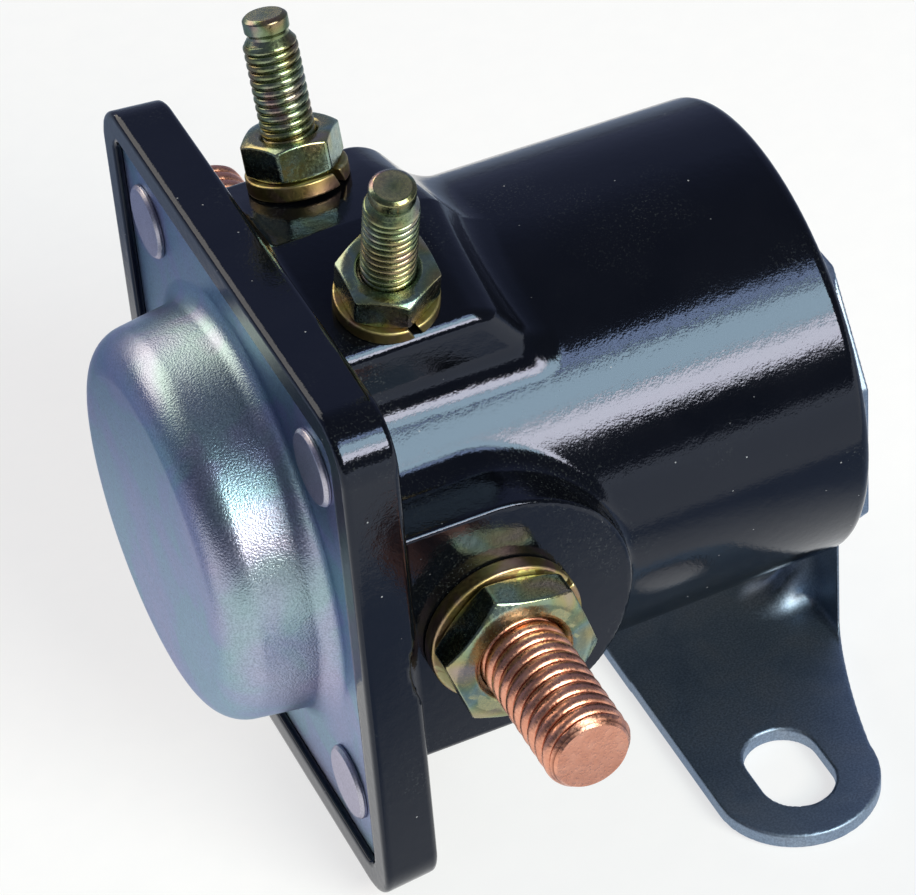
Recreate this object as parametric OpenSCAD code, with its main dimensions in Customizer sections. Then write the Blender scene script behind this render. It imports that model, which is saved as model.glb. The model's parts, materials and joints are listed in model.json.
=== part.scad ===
// Starter solenoid relay: a moulded housing with a coil, a plunger and a contact disc inside,
// two heavy copper terminals, two small terminals, a pressed cover and a mounting bracket.
// The barrel lies along X, with the cover at its low end. The ears of the bracket stand on z = 0,
// and the origin is midway between their two slots.

/* [Barrel] */
// Radius of the barrel where it meets the flange
barrel_r = 22.8; // [20:0.1:26]
// Distance from the front of the flange to the closed end
barrel_l = 51.8; // [46:0.1:60]
// Loss of the barrel's radius from the flange to the closed end
barrel_draft = 0.8; // [0.4:0.1:1.1]
// Wall of the barrel at the flange
barrel_wall = 2.8; // [2.4:0.1:3]
// Rounding of the closed end's edge
barrel_edge = 1.2; // [0.5:0.1:2]
// Thickness of the closed end
end_wall = 2; // [1.5:0.1:3]

/* [Flange] */
// Reach of the flange beyond the barrel on each side
flange_side = 4.6; // [4:0.05:5.5]
// Reach of the flange beyond the barrel above and below
flange_rise = 5.1; // [4.6:0.05:5.5]
// Thickness of the flange
flange_t = 5.2; // [5:0.1:7]
// Corner radius of the flange
flange_corner = 5; // [4:0.5:6.5]
// Width of the rim round the recess for the cover
rim_w = 2.9; // [2:0.1:3.3]
// Depth of the cover's face below the rim
cover_depth = 0.7; // [0.5:0.1:1.5]

/* [Terminal pads] */
// Height of a heavy terminal's pad above the barrel
pad_rise = 2; // [1.6:0.1:2.5]
// Radius of the rounded end of the pad
pad_r = 12.9; // [11:0.1:14]
// Radius of the spot face round a heavy terminal, which nicks the flange's back
spot_r = 9.3; // [8.6:0.1:10]
// Height of a heavy terminal's inner seat above the bore's wall
inner_rise = 0.8; // [0.7:0.1:1.2]

/* [Roof] */
// Half width of the raised roof that carries the small terminals
roof_half = 13.8; // [13.5:0.1:15]
// Half width of the flat along the crest of the roof
roof_crest = 2.6; // [1:0.1:3.5]
// Distance from the flange's front to the back edge of the roof
roof_l = 19.7; // [18:0.1:23]
// Slope of the back of the roof, from the terminal's axis
roof_slope = 38; // [20:1:45]
// Tilt of the small terminals
stud_tilt = 15.5; // [10:0.5:18]

/* [Heavy terminals] */
// Distance of the heavy terminals from the flange's front
stud_x = 13.7; // [13.5:0.1:14]
// Crest diameter of the heavy terminals' thread
stud_d = 7.94; // [7:0.01:8.2]
// Free length of the thread beyond the nut
stud_free = 13.1; // [8:0.1:20]
// Length of the tip's chamfer
stud_chamfer = 0.85; // [0.4:0.05:1.2]
// Distance across the flats of the large nut
nut_af = 12.7; // [12:0.1:14]
// Height of the large nut
nut_h = 3.6; // [2.5:0.1:6]
// Thickness of the large lock washer
washer_t = 1.65; // [1:0.05:2.5]
// Outer diameter of the large lock washer
washer_d = 14.3; // [13:0.1:16]

/* [Small terminals] */
// Distance of the small terminals from the flange's front
small_x = 11.9; // [11.5:0.1:13]
// Distance of a small terminal's seat from the middle plane
small_seat_y = 9.45; // [8.8:0.05:9.8]
// Height of a small terminal's seat above the barrel
small_seat_rise = 2.63; // [2.4:0.01:3.6]
// Crest diameter of the small terminals' thread
small_d = 4.83; // [4:0.01:5]
// Free length of a small terminal beyond its nut
small_free = 11; // [8:0.1:16]
// Length of the plain tip of a small terminal
small_tip = 1.9; // [1:0.1:3]
// Distance across the flats of the small nut
small_nut_af = 7.94; // [7.5:0.01:9.5]
// Height of the small nut
small_nut_h = 3.4; // [2:0.1:5]
// Thickness of the small lock washer
small_washer_t = 1.5; // [0.8:0.1:2]
// Outer diameter of the small lock washer
small_washer_d = 9.2; // [8:0.1:10]

/* [Cover] */
// Thickness of the cover's sheet
sheet = 1; // [0.6:0.1:1.2]
// Height of the dome's face above the front of the flange
dome_h = 8.8; // [8.6:0.1:12]
// Distance of the dome's foot inside the barrel's wall
dome_inset = 3.8; // [2.8:0.1:4.8]
// Loss of the dome's radius from its foot to its rounded edge
dome_draft = 0.5; // [0.4:0.1:2]
// Rounding of the dome's edge
dome_edge = 3.8; // [2:0.1:5]
// Rounding at the dome's foot
dome_foot = 2; // [1:0.1:2.4]
// Thickness of the gasket under the cover
gasket_t = 0.8; // [0.4:0.1:1]
// Distance of a rivet's middle outside the barrel's wall
rivet_out = 3.766; // [3:0.001:4.1]
// Diameter of a rivet's head
rivet_head_d = 7; // [6:0.1:7.4]

/* [Bracket] */
// Thickness of the bracket
plate_t = 1.6; // [1.2:0.1:2]
// Distance between the middles of the two slots
slot_spacing = 57.15; // [54:0.05:62]
// Distance of the slots from the bracket's outer face
slot_back = 14; // [13:0.1:16]
// Width of a slot
slot_w = 7; // [5:0.1:8]
// Length of a slot
slot_l = 10; // [9:0.1:12]
// Radius of an ear's round end
ear_r = 7.9; // [7.5:0.1:9]
// Distance of the round end's middle beyond the slot's middle
ear_reach = 0.9; // [0:0.1:1.5]
// Half width of the bracket where it bends
neck = 11.8; // [10:0.1:12.5]
// Height of the barrel's axis above the underside of the ears
axis_z = 28.55; // [28.3:0.05:31]

/* [Coil] */
// Wall of the steel can round the coil
can_wall = 1.5; // [1:0.1:2]
// Wall of the bobbin's tube
bobbin_wall = 1; // [0.8:0.1:1.5]
// Distance of the winding's surface inside the bobbin's edge
winding_drop = 1.1; // [1:0.1:4]
// Radius of the fixed core and of the plunger
core_r = 6.9; // [6:0.1:7]
// Share of the coil's length that the fixed core fills
core_share = 0.413; // [0.35:0.001:0.45]
// Travel of the plunger
travel = 3.4; // [3:0.1:3.5]
// Travel of the plunger after the disc meets the contacts
overtravel = 0.95; // [0.5:0.05:1.2]

/* [Contacts] */
// Distance of the contact disc's edge inside the bore's wall
disc_inset = 5.5; // [5.2:0.1:8]
// Thickness of the contact disc
disc_t = 1.6; // [1:0.1:2]
// Distance from the flange's front to the disc's near face, at rest
disc_x = 5.2; // [5:0.1:5.6]
// Radius of the plunger's rod
rod_r = 2; // [1.5:0.1:2.2]

/* [Hidden] */
$fn = 72;

// Overrun of a cut past the face it opens
over = 0.5;
// Clearance of a part that sits fixed in its seat
seat_gap = 0.05;
// Radial clearance of a sliding or turning part
run_gap = 0.05;
// Clearance of the coil pack in the housing's bore
pack_gap = 0.1;
// Clearance of the cover in its recess
cover_gap = 0.15;
// Air left between two parts that close on each other
close_gap = 0.05;

// Sizes that follow the barrel's radius
barrel_end_r = barrel_r - barrel_draft;
cavity_r = barrel_r - barrel_wall;
flange_w = 2 * (barrel_r + flange_side);
flange_h = 2 * (barrel_r + flange_rise);
pad_face = barrel_r + pad_rise;
inner_seat = cavity_r - inner_rise;
small_seat_z = barrel_r + small_seat_rise;
dome_r = barrel_r - dome_inset;
dome_top_r = dome_r - dome_draft;
rivet_reach = (barrel_r + rivet_out) / sqrt(2);
disc_r = cavity_r - disc_inset;

// Places along the barrel, measured from the front of the flange
plate_x = barrel_l + plate_t;
slot_x = plate_x - slot_back;
cover_back = cover_depth + sheet;
recess_depth = cover_back + gasket_t;
disc_back = disc_x + disc_t;
contact_x = disc_back + travel - overtravel + close_gap;
head_half = stud_x - contact_x;
insulator_t = 0.8;
pole_t = 1.6;
can_end = 1.6;
insulator_x = stud_x + head_half + pack_gap;
pole_x = insulator_x + insulator_t;
coil_x = pole_x + pole_t;
coil_end = barrel_l - end_wall - can_end;
bobbin_flange = 1;
core_face = coil_end - core_share * (coil_end - coil_x);

// Radii inside the coil, from the plunger outwards
sleeve_wall = 0.35;
sleeve_bore = core_r + run_gap;
sleeve_r = sleeve_bore + sleeve_wall;
bobbin_r = sleeve_r + bobbin_wall;
can_r = cavity_r - pack_gap;
can_bore = can_r - can_wall;
bobbin_flange_r = can_bore - pack_gap;
winding_r = bobbin_flange_r - winding_drop;
wrap_t = 0.4;

// Clearance of a nut on the crests of its thread
thread_gap = 0.05;

// Shallow groove above each nut, where the free end of the terminal starts
relief_w = 0.6;
relief_depth = 0.25;

// Nuts: the face inside the chamfer as a share of the flats, the chamfer's slope, and the
// countersink's depth as a share of the bore's radius
nut_face_share = 0.96;
nut_chamfer_share = 0.5;
nut_sink_share = 0.14;

// Radii of the terminals, and where the large nuts end
stud_r = stud_d / 2;
small_r = small_d / 2;
stud_tip_share = 0.8;
stud_tip_r = stud_r - stud_tip_share * stud_chamfer;
nut_top = pad_face + washer_t + nut_h;

// Lock washers: clearance on the stud, and slant of the cut
washer_gap = 0.2;
split_slant_angle = 25;

// Turns of the nuts about their studs, and of the cuts in the washers below them
battery_nut_angle = -13;
motor_nut_angle = 13;
start_nut_angle = 30;
ignition_nut_angle = -5;
battery_split_angle = 30;
motor_split_angle = -30;
start_split_angle = -80;
ignition_split_angle = -55;

// Inside of the heavy terminals
head_z = 5;
head_inner = 8;
inner_pad_z = 6.5;
inner_pad_x = 7;
inner_pad_out = cavity_r + 2 * over;

// Below the roof, along a small terminal's own axis
small_wall = 5.5;
small_head_r = 3.6;
small_head_t = 2;
tab_t = 0.6;
tab_r = 4.5;
tab_half = 1.5;
pocket_r = 5.2;
pocket_l = 12;
lead_depth = 10.7;
lead_r = 0.5;
lead_hole_r = 0.9;
jog_depth = 9.4;
finger_half = 1.8;
finger_depth = 14.6;
finger_x = contact_x + close_gap - small_x;
small_tip_drop = 0.4;
small_tip_r = small_r - small_tip_drop;
small_groove_drop = 0.65;
small_groove_r = small_r - small_groove_drop;
small_groove = 0.6;
small_tip_chamfer = 0.4;

// Cover and its rivets
rivet_r = 1.9;
rivet_head_t = 0.6;
rivet_edge = 0.3;
rivet_tail_r = 2.9;
rivet_tail_t = 0.9;
gasket_hole_r = dome_r + dome_foot + pack_gap;
ARC = 10;

// Bracket, with heights from the barrel's axis
bend_r = 1;
ear_front = slot_x - ear_r;
end_top_share = [0.54, 0.66];
end_side_share = [0.83, 0.22];
end_low_share = -0.45;
end_foot_share = [0.682, -0.636];
neck_share = -0.791;
end_top_z = end_top_share[1] * barrel_end_r;
flare_r = 80;
gusset_y = 8;
gusset_w = 3.4;
gusset_leg = 4.5;
pip_y = 9;
pip_r = 1.5;

// Plunger, rod, springs and core
shank_r = 3;
peen_r = 5;
peen_t = 1.4;
peen_edge = 0.6;
pocket_spring_r = 3.6;
plunger_back = core_face - travel - close_gap * 2;
plunger_front = coil_x - pole_t - insulator_t / 2;
plunger_pocket_share = 0.44;
plunger_pocket = plunger_pocket_share * (plunger_back - plunger_front);
core_pocket = 2;
rod_seat = 4;
rod_front = close_gap * 2 + sheet - dome_h;
collar_r = 3;
bush_r = 5.2;
bush_t = 1.8;
hub_r = 3.4;
hub_gap = 0.1;
disc_washer_t = 1;
clip_x = -3.6;
clip_t = 1;
clip_r = 4.6;
contact_spring_r = 3.1;
contact_wire_r = 0.4;
contact_turns = 5;
return_spring_r = 2.9;
return_wire_r = 0.35;
return_turns = 8;
TURN_STEPS = 14;
WIRE_SIDES = 6;

// Moves a part from the barrel's frame, with x from the flange's front, to the frame of the ears
module placed() {
  translate([-slot_x, 0, axis_z]) children();
}

// Turns a shape drawn along Z so that it runs along X
module along_x(x = 0) {
  translate([x, 0, 0]) rotate([0, 90, 0]) children();
}

// The frame of a heavy terminal: Z runs outwards, from the middle plane
module heavy(side) {
  translate([stud_x, 0, 0]) rotate([-side * 90, 0, 0]) children();
}

// The frame of a small terminal: Z runs outwards, from its seat on the roof
module small(side) {
  translate([small_x, side * small_seat_y, small_seat_z]) rotate([-side * stud_tilt, 0, 0]) children();
}

// A flat outline with x across and y up, drawn on the Y and Z axes and raised along X
module raised(x, t) {
  translate([x, 0, 0]) rotate([90, 0, 90]) linear_extrude(t) children();
}

module rounded(w, h, r) {
  square([w - 2 * r, h], center = true);
  square([w, h - 2 * r], center = true);
  for (sx = [-1, 1], sy = [-1, 1]) translate([sx * (w / 2 - r), sy * (h / 2 - r)]) circle(r);
}

module rivet_places() {
  for (sy = [-1, 1], sz = [-1, 1]) translate([0, sy * rivet_reach, sz * rivet_reach]) children();
}

module rivet_holes(x, t) {
  rivet_places() along_x(x - over) cylinder(r = rivet_r + seat_gap, h = t + 2 * over);
}

// Ring or disc across the barrel's axis
module ring_x(x, t, r, bore) {
  along_x(x) difference() {
    cylinder(r = r, h = t);
    translate([0, 0, -over]) cylinder(r = bore, h = t + 2 * over);
  }
}

// Barrel with its rounded closed end
module barrel() {
  rim = barrel_end_r - barrel_edge;
  along_x() rotate_extrude() {
    polygon([[0, 0], [barrel_r, 0], [barrel_end_r, barrel_l - barrel_edge],
      [rim, barrel_l - barrel_edge], [rim, barrel_l], [0, barrel_l]]);
    intersection() {
      translate([rim, barrel_l - barrel_edge]) circle(barrel_edge);
      translate([rim - over, barrel_l - barrel_edge]) square(barrel_edge + over);
    }
  }
}

// One half of the roof, whose face is square to its terminal
module roof(side) {
  crest_z = small_seat_z + (small_seat_y - roof_crest) * tan(stud_tilt);
  edge_z = small_seat_z + (small_seat_y - roof_half) * tan(stud_tilt);
  slope = tan(roof_slope) * small_seat_z;
  intersection() {
    raised(flange_t / 2, roof_l + barrel_r)
      polygon([[0, 0], [side * roof_half, 0], [side * roof_half, edge_z],
        [side * roof_crest, crest_z], [0, crest_z]]);
    small(side) rotate([90, 0, 0]) linear_extrude(2 * flange_w, center = true)
      polygon([[-small_x, -2 * small_seat_z], [-small_x, over], [roof_l - small_x, over],
        [roof_l - small_x, 0], [roof_l - small_x + slope, -small_seat_z],
        [roof_l - small_x + slope, -2 * small_seat_z]]);
  }
}

// Pad of a heavy terminal, straight at the flange and round behind
module pad(side) {
  heavy(side) linear_extrude(pad_face) {
    circle(pad_r);
    translate([flange_t / 2 - stud_x, -pad_r]) square([stud_x - flange_t / 2, 2 * pad_r]);
  }
}

module housing() placed() color([0.06, 0.06, 0.09]) {
  recess_w = flange_w - 2 * rim_w;
  recess_h = flange_h - 2 * rim_w;
  cavity_end = barrel_l - end_wall;
  pack_x = insulator_x;
  difference() {
    union() {
      raised(0, flange_t) rounded(flange_w, flange_h, flange_corner);
      barrel();
      for (side = [-1, 1]) {
        roof(side);
        pad(side);
      }
      for (side = [-1, 1]) translate([barrel_l, side * pip_y, 0])
        along_x(-over) cylinder(r = pip_r, h = plate_t + over);
    }
    raised(-over, recess_depth + over) rounded(recess_w, recess_h, flange_corner - rim_w);
    difference() {
      along_x(recess_depth - over) cylinder(r = cavity_r, h = cavity_end - recess_depth + over);
      for (side = [-1, 1]) heavy(side) translate([inner_pad_x - stud_x, -inner_pad_z, inner_seat])
        cube([pack_x - inner_pad_x, 2 * inner_pad_z, inner_pad_out - inner_seat]);
    }
    rivet_holes(0, flange_t);
    along_x(cavity_end - over) cylinder(r = shank_r + seat_gap, h = end_wall + 2 * over);
    for (side = [-1, 1]) {
      heavy(side) translate([0, 0, pad_face]) cylinder(r = spot_r, h = flange_w / 2);
      heavy(side) translate([0, 0, inner_seat - over]) cylinder(r = stud_r + seat_gap, h = pad_face);
      small(side) translate([0, 0, -small_wall - over])
        cylinder(r = small_r + seat_gap, h = small_wall + 2 * over);
      small(side) translate([0, 0, -small_wall - pocket_l]) cylinder(r = pocket_r, h = pocket_l);
    }
  }
}

// Outline of the dome's skin, radius by height, offset inwards by inset
function dome_skin(inset) = concat(
  [for (i = [0 : ARC]) [dome_r + dome_foot - (dome_foot + inset) * sin(90 * i / ARC),
    dome_foot - cover_depth - (dome_foot + inset) * cos(90 * i / ARC)]],
  [for (i = [0 : ARC]) [dome_top_r - dome_edge + (dome_edge - inset) * cos(90 * i / ARC),
    dome_h - dome_edge + (dome_edge - inset) * sin(90 * i / ARC)]]);

module cover() placed() color([0.62, 0.66, 0.78]) difference() {
  w = flange_w - 2 * rim_w - 2 * cover_gap;
  h = flange_h - 2 * rim_w - 2 * cover_gap;
  union() {
    raised(cover_depth, sheet) rounded(w, h, flange_corner - rim_w - cover_gap);
    rotate([0, -90, 0]) rotate_extrude()
      polygon(concat([[0, -cover_depth]], dome_skin(0), [[0, dome_h]]));
  }
  rotate([0, -90, 0]) rotate_extrude()
    polygon(concat([[0, -cover_back - over], [dome_r + dome_foot, -cover_back - over]],
      dome_skin(sheet), [[0, dome_h - sheet]]));
  rivet_holes(cover_depth, sheet);
}

module cover_gasket() placed() color([0.25, 0.2, 0.16]) difference() {
  w = flange_w - 2 * rim_w - 2 * cover_gap;
  h = flange_h - 2 * rim_w - 2 * cover_gap;
  raised(cover_back, gasket_t) rounded(w, h, flange_corner - rim_w - cover_gap);
  along_x(cover_back - over) cylinder(r = gasket_hole_r, h = gasket_t + 2 * over);
  rivet_holes(cover_back, gasket_t);
}

// Four rivets, with flat heads in front and spread tails behind
module cover_rivets() placed() color([0.68, 0.68, 0.78]) rivet_places() {
  head_r = rivet_head_d / 2;
  along_x(cover_depth - rivet_head_t) cylinder(r1 = head_r - rivet_edge, r2 = head_r, h = rivet_edge);
  along_x(cover_depth - rivet_head_t + rivet_edge) cylinder(r = head_r, h = rivet_head_t - rivet_edge);
  along_x(cover_depth) cylinder(r = rivet_r, h = flange_t - cover_depth);
  along_x(flange_t) cylinder(r = rivet_tail_r, h = rivet_tail_t);
}

// Heavy terminal, with a square contact head inside the housing
module heavy_stud(side) placed() color([0.79, 0.5, 0.42]) heavy(side) {
  tip = nut_top + stud_free;
  translate([-head_half, -head_z, head_inner]) cube([2 * head_half, 2 * head_z, inner_seat - head_inner]);
  translate([0, 0, inner_seat]) cylinder(r = stud_r, h = nut_top - inner_seat);
  translate([0, 0, nut_top]) cylinder(r = stud_r - relief_depth, h = relief_w);
  translate([0, 0, nut_top + relief_w]) cylinder(r = stud_r, h = stud_free - relief_w - stud_chamfer);
  translate([0, 0, tip - stud_chamfer]) cylinder(r1 = stud_r, r2 = stud_tip_r, h = stud_chamfer);
}

// Split lock washer, with a slanted cut
module lock_washer(d, bore, t, turn) {
  difference() {
    cylinder(d = d, h = t);
    translate([0, 0, -over]) cylinder(r = bore, h = t + 2 * over);
    rotate(turn) translate([d / 2, 0, t / 2]) rotate([split_slant_angle, 0, 0])
      cube([d, t / 2, t + 4 * over], center = true);
  }
}

// Hexagon nut with chamfered corners and a countersunk bore
module hex_nut(af, h, bore, turn) {
  corner = af / 2 / cos(30);
  face_r = nut_face_share * af / 2;
  drop = nut_chamfer_share * (corner + over - face_r);
  sink = nut_sink_share * bore;
  difference() {
    intersection() {
      rotate(turn) cylinder(r = corner, h = h, $fn = 6);
      union() {
        cylinder(r = corner + over, h = h - drop);
        translate([0, 0, h - drop]) cylinder(r1 = corner + over, r2 = face_r, h = drop);
      }
    }
    translate([0, 0, -over]) cylinder(r = bore, h = h + 2 * over);
    translate([0, 0, h - sink]) cylinder(r1 = bore, r2 = bore + sink + over, h = sink + over);
  }
}

module heavy_washer(side, turn) placed() color([0.72, 0.66, 0.4])
  heavy(side) translate([0, 0, pad_face]) lock_washer(washer_d, stud_r + washer_gap, washer_t, turn);

module heavy_nut(side, turn) placed() color([0.7, 0.68, 0.42])
  heavy(side) translate([0, 0, pad_face + washer_t]) hex_nut(nut_af, nut_h, stud_r + thread_gap, turn);

// Small terminal, with a round head below the roof and a plain tip
module small_stud(side) placed() color([0.62, 0.6, 0.42]) small(side) {
  nut_z = small_washer_t + small_nut_h;
  end = nut_z + small_free;
  thread_end = end - small_tip;
  chamfer_start = end - small_tip_chamfer;
  groove_end = thread_end + small_groove;
  head_z = -small_wall - tab_t;
  translate([0, 0, head_z - small_head_t]) cylinder(r = small_head_r, h = small_head_t);
  translate([0, 0, head_z]) cylinder(r = small_r, h = nut_z - head_z);
  translate([0, 0, nut_z]) cylinder(r = small_r - relief_depth, h = relief_w);
  translate([0, 0, nut_z + relief_w]) cylinder(r = small_r, h = thread_end - nut_z - relief_w);
  translate([0, 0, thread_end]) cylinder(r = small_groove_r, h = small_groove);
  translate([0, 0, groove_end]) cylinder(r = small_tip_r, h = chamfer_start - groove_end);
  translate([0, 0, chamfer_start])
    cylinder(r1 = small_tip_r, r2 = small_tip_r - small_tip_chamfer, h = small_tip_chamfer);
}

module small_washer(side, turn) placed() color([0.66, 0.64, 0.42])
  small(side) lock_washer(small_washer_d, small_r + washer_gap, small_washer_t, turn);

module small_nut(side, turn) placed() color([0.62, 0.6, 0.38])
  small(side) translate([0, 0, small_washer_t])
    hex_nut(small_nut_af, small_nut_h, small_r + thread_gap, turn);

// Outline of the bracket's upright plate
module end_outline() {
  r = barrel_end_r;
  half = [[0, -axis_z], [neck, -axis_z], [neck, neck_share * r], r * end_foot_share,
    [end_side_share[0] * r, end_low_share * r], r * end_side_share, r * end_top_share, [0, end_top_z]];
  polygon(half);
  mirror([1, 0]) polygon(half);
}

// Outline of the bracket's base, seen from above, with its two ears
module base_outline() {
  ear_y = slot_spacing / 2 + ear_reach;
  ear_back = slot_x + ear_r;
  chord = [plate_x - ear_back, neck - ear_y];
  length = norm(chord);
  reach = sqrt(flare_r * flare_r - length * length / 4);
  middle = [ear_back + plate_x, ear_y + neck] / 2;
  centre = middle + reach * [-chord[1], chord[0]] / length;
  for (side = [0, 1]) mirror([0, side]) {
    difference() {
      polygon([[ear_front, 0], [ear_front, ear_y], [ear_back, ear_y],
        [plate_x, neck], [plate_x, 0]]);
      translate(centre) circle(flare_r);
    }
    translate([slot_x, ear_y]) circle(ear_r);
  }
}

// Side view of the bent plate
module bent_strip() {
  outer = bend_r + plate_t;
  difference() {
    union() {
      translate([ear_front, -axis_z]) square([plate_x - ear_front - outer, plate_t]);
      translate([barrel_l, outer - axis_z]) square([plate_t, end_top_z + axis_z - outer]);
      translate([plate_x - outer, outer - axis_z]) circle(outer);
    }
    translate([plate_x - outer, outer - axis_z]) circle(bend_r);
    translate([ear_front, plate_t - axis_z]) square([barrel_l - ear_front - bend_r, 2 * outer]);
    translate([ear_front, outer - axis_z]) square([barrel_l - ear_front, 2 * outer]);
  }
}

module slot_holes() {
  reach = slot_l / 2 - slot_w / 2;
  for (side = [-1, 1]) translate([slot_x, side * slot_spacing / 2, -axis_z - over])
    linear_extrude(plate_t + 2 * over) {
      square([slot_w, 2 * reach], center = true);
      for (end = [-1, 1]) translate([0, end * reach]) circle(slot_w / 2);
    }
}

module bracket() placed() color([0.5, 0.55, 0.66]) {
  difference() {
    intersection() {
      rotate([90, 0, 0]) linear_extrude(2 * slot_spacing, center = true) bent_strip();
      union() {
        raised(ear_front - ear_r, plate_x) end_outline();
        translate([0, 0, -axis_z]) linear_extrude(axis_z + end_top_z) base_outline();
      }
    }
    slot_holes();
    along_x(barrel_l - over) cylinder(r = shank_r + seat_gap, h = plate_t + 2 * over);
    for (side = [-1, 1]) translate([barrel_l, side * pip_y, 0]) along_x(-over)
      cylinder(r = pip_r + seat_gap, h = plate_t + 2 * over);
  }
  for (side = [-1, 1]) translate([barrel_l, side * gusset_y, plate_t - axis_z]) rotate([90, 0, 0])
    linear_extrude(gusset_w, center = true)
      polygon([[0, 0], [0, gusset_leg], [-gusset_leg, 0]]);
}

// Fixed core, with a shank that is peened over behind the bracket
module core() placed() color([0.45, 0.46, 0.5]) {
  difference() {
    along_x(core_face) cylinder(r = core_r, h = coil_end - core_face);
    along_x(core_face - over) cylinder(r = pocket_spring_r, h = core_pocket + over);
  }
  along_x(coil_end) cylinder(r = shank_r, h = plate_x - coil_end);
  along_x(plate_x) cylinder(r = peen_r, h = peen_t - peen_edge);
  along_x(plate_x + peen_t - peen_edge) cylinder(r1 = peen_r, r2 = peen_r - peen_edge, h = peen_edge);
}

// Steel can round the coil, closed behind
module coil_can() placed() color([0.4, 0.42, 0.46]) difference() {
  along_x(coil_x) cylinder(r = can_r, h = coil_end + can_end - coil_x);
  along_x(coil_x - over) cylinder(r = can_bore, h = coil_end - coil_x + over);
  along_x(coil_end - over) cylinder(r = shank_r + seat_gap, h = can_end + 2 * over);
}

// Way for the coil's lead through the plates in front of the coil
module lead_hole(x, t) {
  small(-1) translate([x - small_x, 0, -lead_depth]) along_x(-over)
    cylinder(r = lead_hole_r, h = t + 2 * over);
}

module pole_plate() placed() color([0.45, 0.46, 0.5]) difference() {
  ring_x(pole_x, pole_t, can_r, sleeve_r);
  lead_hole(pole_x, pole_t);
}

module insulator_plate() placed() color([0.45, 0.3, 0.2]) difference() {
  ring_x(insulator_x, insulator_t, can_r, sleeve_r);
  lead_hole(insulator_x, insulator_t);
}

module bobbin() placed() color([0.85, 0.83, 0.75]) difference() {
  union() {
    along_x(coil_x) cylinder(r = bobbin_r, h = coil_end - coil_x);
    along_x(coil_x) cylinder(r = bobbin_flange_r, h = bobbin_flange);
    along_x(coil_end - bobbin_flange) cylinder(r = bobbin_flange_r, h = bobbin_flange);
  }
  along_x(coil_x - over) cylinder(r = sleeve_r, h = coil_end - coil_x + 2 * over);
  lead_hole(coil_x, bobbin_flange);
  translate([coil_end - bobbin_flange, 0, -winding_r + bobbin_r / 2]) along_x(-over)
    cylinder(r = lead_hole_r, h = bobbin_flange + 2 * over);
}

module winding() placed() color([0.72, 0.36, 0.16])
  ring_x(coil_x + bobbin_flange, coil_end - coil_x - 2 * bobbin_flange, winding_r, bobbin_r);

module coil_wrap() placed() color([0.7, 0.62, 0.4])
  ring_x(coil_x + bobbin_flange, coil_end - coil_x - 2 * bobbin_flange, winding_r + wrap_t, winding_r);

module plunger_sleeve() placed() color([0.75, 0.62, 0.3])
  ring_x(pole_x, coil_end - pole_x, sleeve_r, sleeve_bore);

module plunger() placed() color([0.5, 0.51, 0.55]) difference() {
  along_x(plunger_front) cylinder(r = core_r, h = plunger_back - plunger_front);
  along_x(plunger_front - over) cylinder(r = rod_r, h = rod_seat + over);
  along_x(plunger_back - plunger_pocket) cylinder(r = pocket_spring_r, h = plunger_pocket + over);
}

// Rod with a collar that carries the disc's bush
module plunger_rod() placed() color([0.7, 0.7, 0.72]) {
  collar_x = disc_back + bush_t;
  along_x(rod_front) cylinder(r = rod_r, h = plunger_front + rod_seat - rod_front);
  along_x(collar_x) cylinder(r = collar_r, h = plunger_front - collar_x);
}

module disc_bush() placed() color([0.5, 0.32, 0.2]) difference() {
  union() {
    along_x(disc_back) cylinder(r = bush_r, h = bush_t);
    along_x(disc_x + hub_gap) cylinder(r = hub_r, h = disc_t);
  }
  along_x(disc_x - over) cylinder(r = rod_r, h = disc_t + bush_t + 2 * over);
}

module contact_disc() placed() color([0.8, 0.5, 0.36])
  ring_x(disc_x, disc_t, disc_r, hub_r + run_gap);

module disc_washer() placed() color([0.5, 0.32, 0.2])
  ring_x(disc_x - disc_washer_t, disc_washer_t, bush_r, rod_r + run_gap);

// Push-on clip that holds the contact spring on the rod
module spring_clip() placed() color([0.6, 0.6, 0.64])
  ring_x(clip_x, clip_t, clip_r, rod_r);

// Round wire wound along Z, in turns from a start height to an end height
module helix(coil_r, wire_r, length, turns) {
  steps = TURN_STEPS * turns;
  sides = WIRE_SIDES;
  rise = length - 2 * wire_r;
  points = [for (i = [0 : steps], j = [0 : sides - 1])
    let (a = 360 * turns * i / steps, b = 360 * j / sides, r = coil_r + wire_r * cos(b))
    [r * cos(a), r * sin(a), wire_r + rise * i / steps + wire_r * sin(b)]];
  ends = [[for (j = [0 : sides - 1]) j], [for (j = [sides - 1 : -1 : 0]) steps * sides + j]];
  quads = [for (i = [0 : steps - 1], j = [0 : sides - 1])
    let (k = (j + 1) % sides) [i * sides + j, (i + 1) * sides + j, (i + 1) * sides + k, i * sides + k]];
  polyhedron(points, concat(ends, quads));
}

module contact_spring() placed() color([0.7, 0.7, 0.74]) {
  start = clip_x + clip_t;
  end = disc_x - disc_washer_t;
  along_x(start) helix(contact_spring_r, contact_wire_r, end - start, contact_turns);
}

module return_spring() placed() color([0.7, 0.7, 0.74]) {
  start = plunger_back - plunger_pocket;
  end = core_face + core_pocket;
  along_x(start) helix(return_spring_r, return_wire_r, end - start, return_turns);
}

// Washer-shaped end of a strip that is clamped below a small terminal
module strip_ring() {
  translate([0, 0, -small_wall - tab_t]) difference() {
    cylinder(r = tab_r, h = tab_t);
    translate([0, 0, -over]) cylinder(r = small_r + seat_gap, h = tab_t + 2 * over);
  }
}

// Strip that joins the coil's lead to the start terminal
module start_tab() placed() color([0.75, 0.62, 0.3]) small(-1) {
  strip_ring();
  depth = lead_depth + 2 * lead_r;
  translate([tab_r - tab_t, -tab_half, -depth]) cube([tab_t, 2 * tab_half, depth - small_wall]);
}

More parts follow.
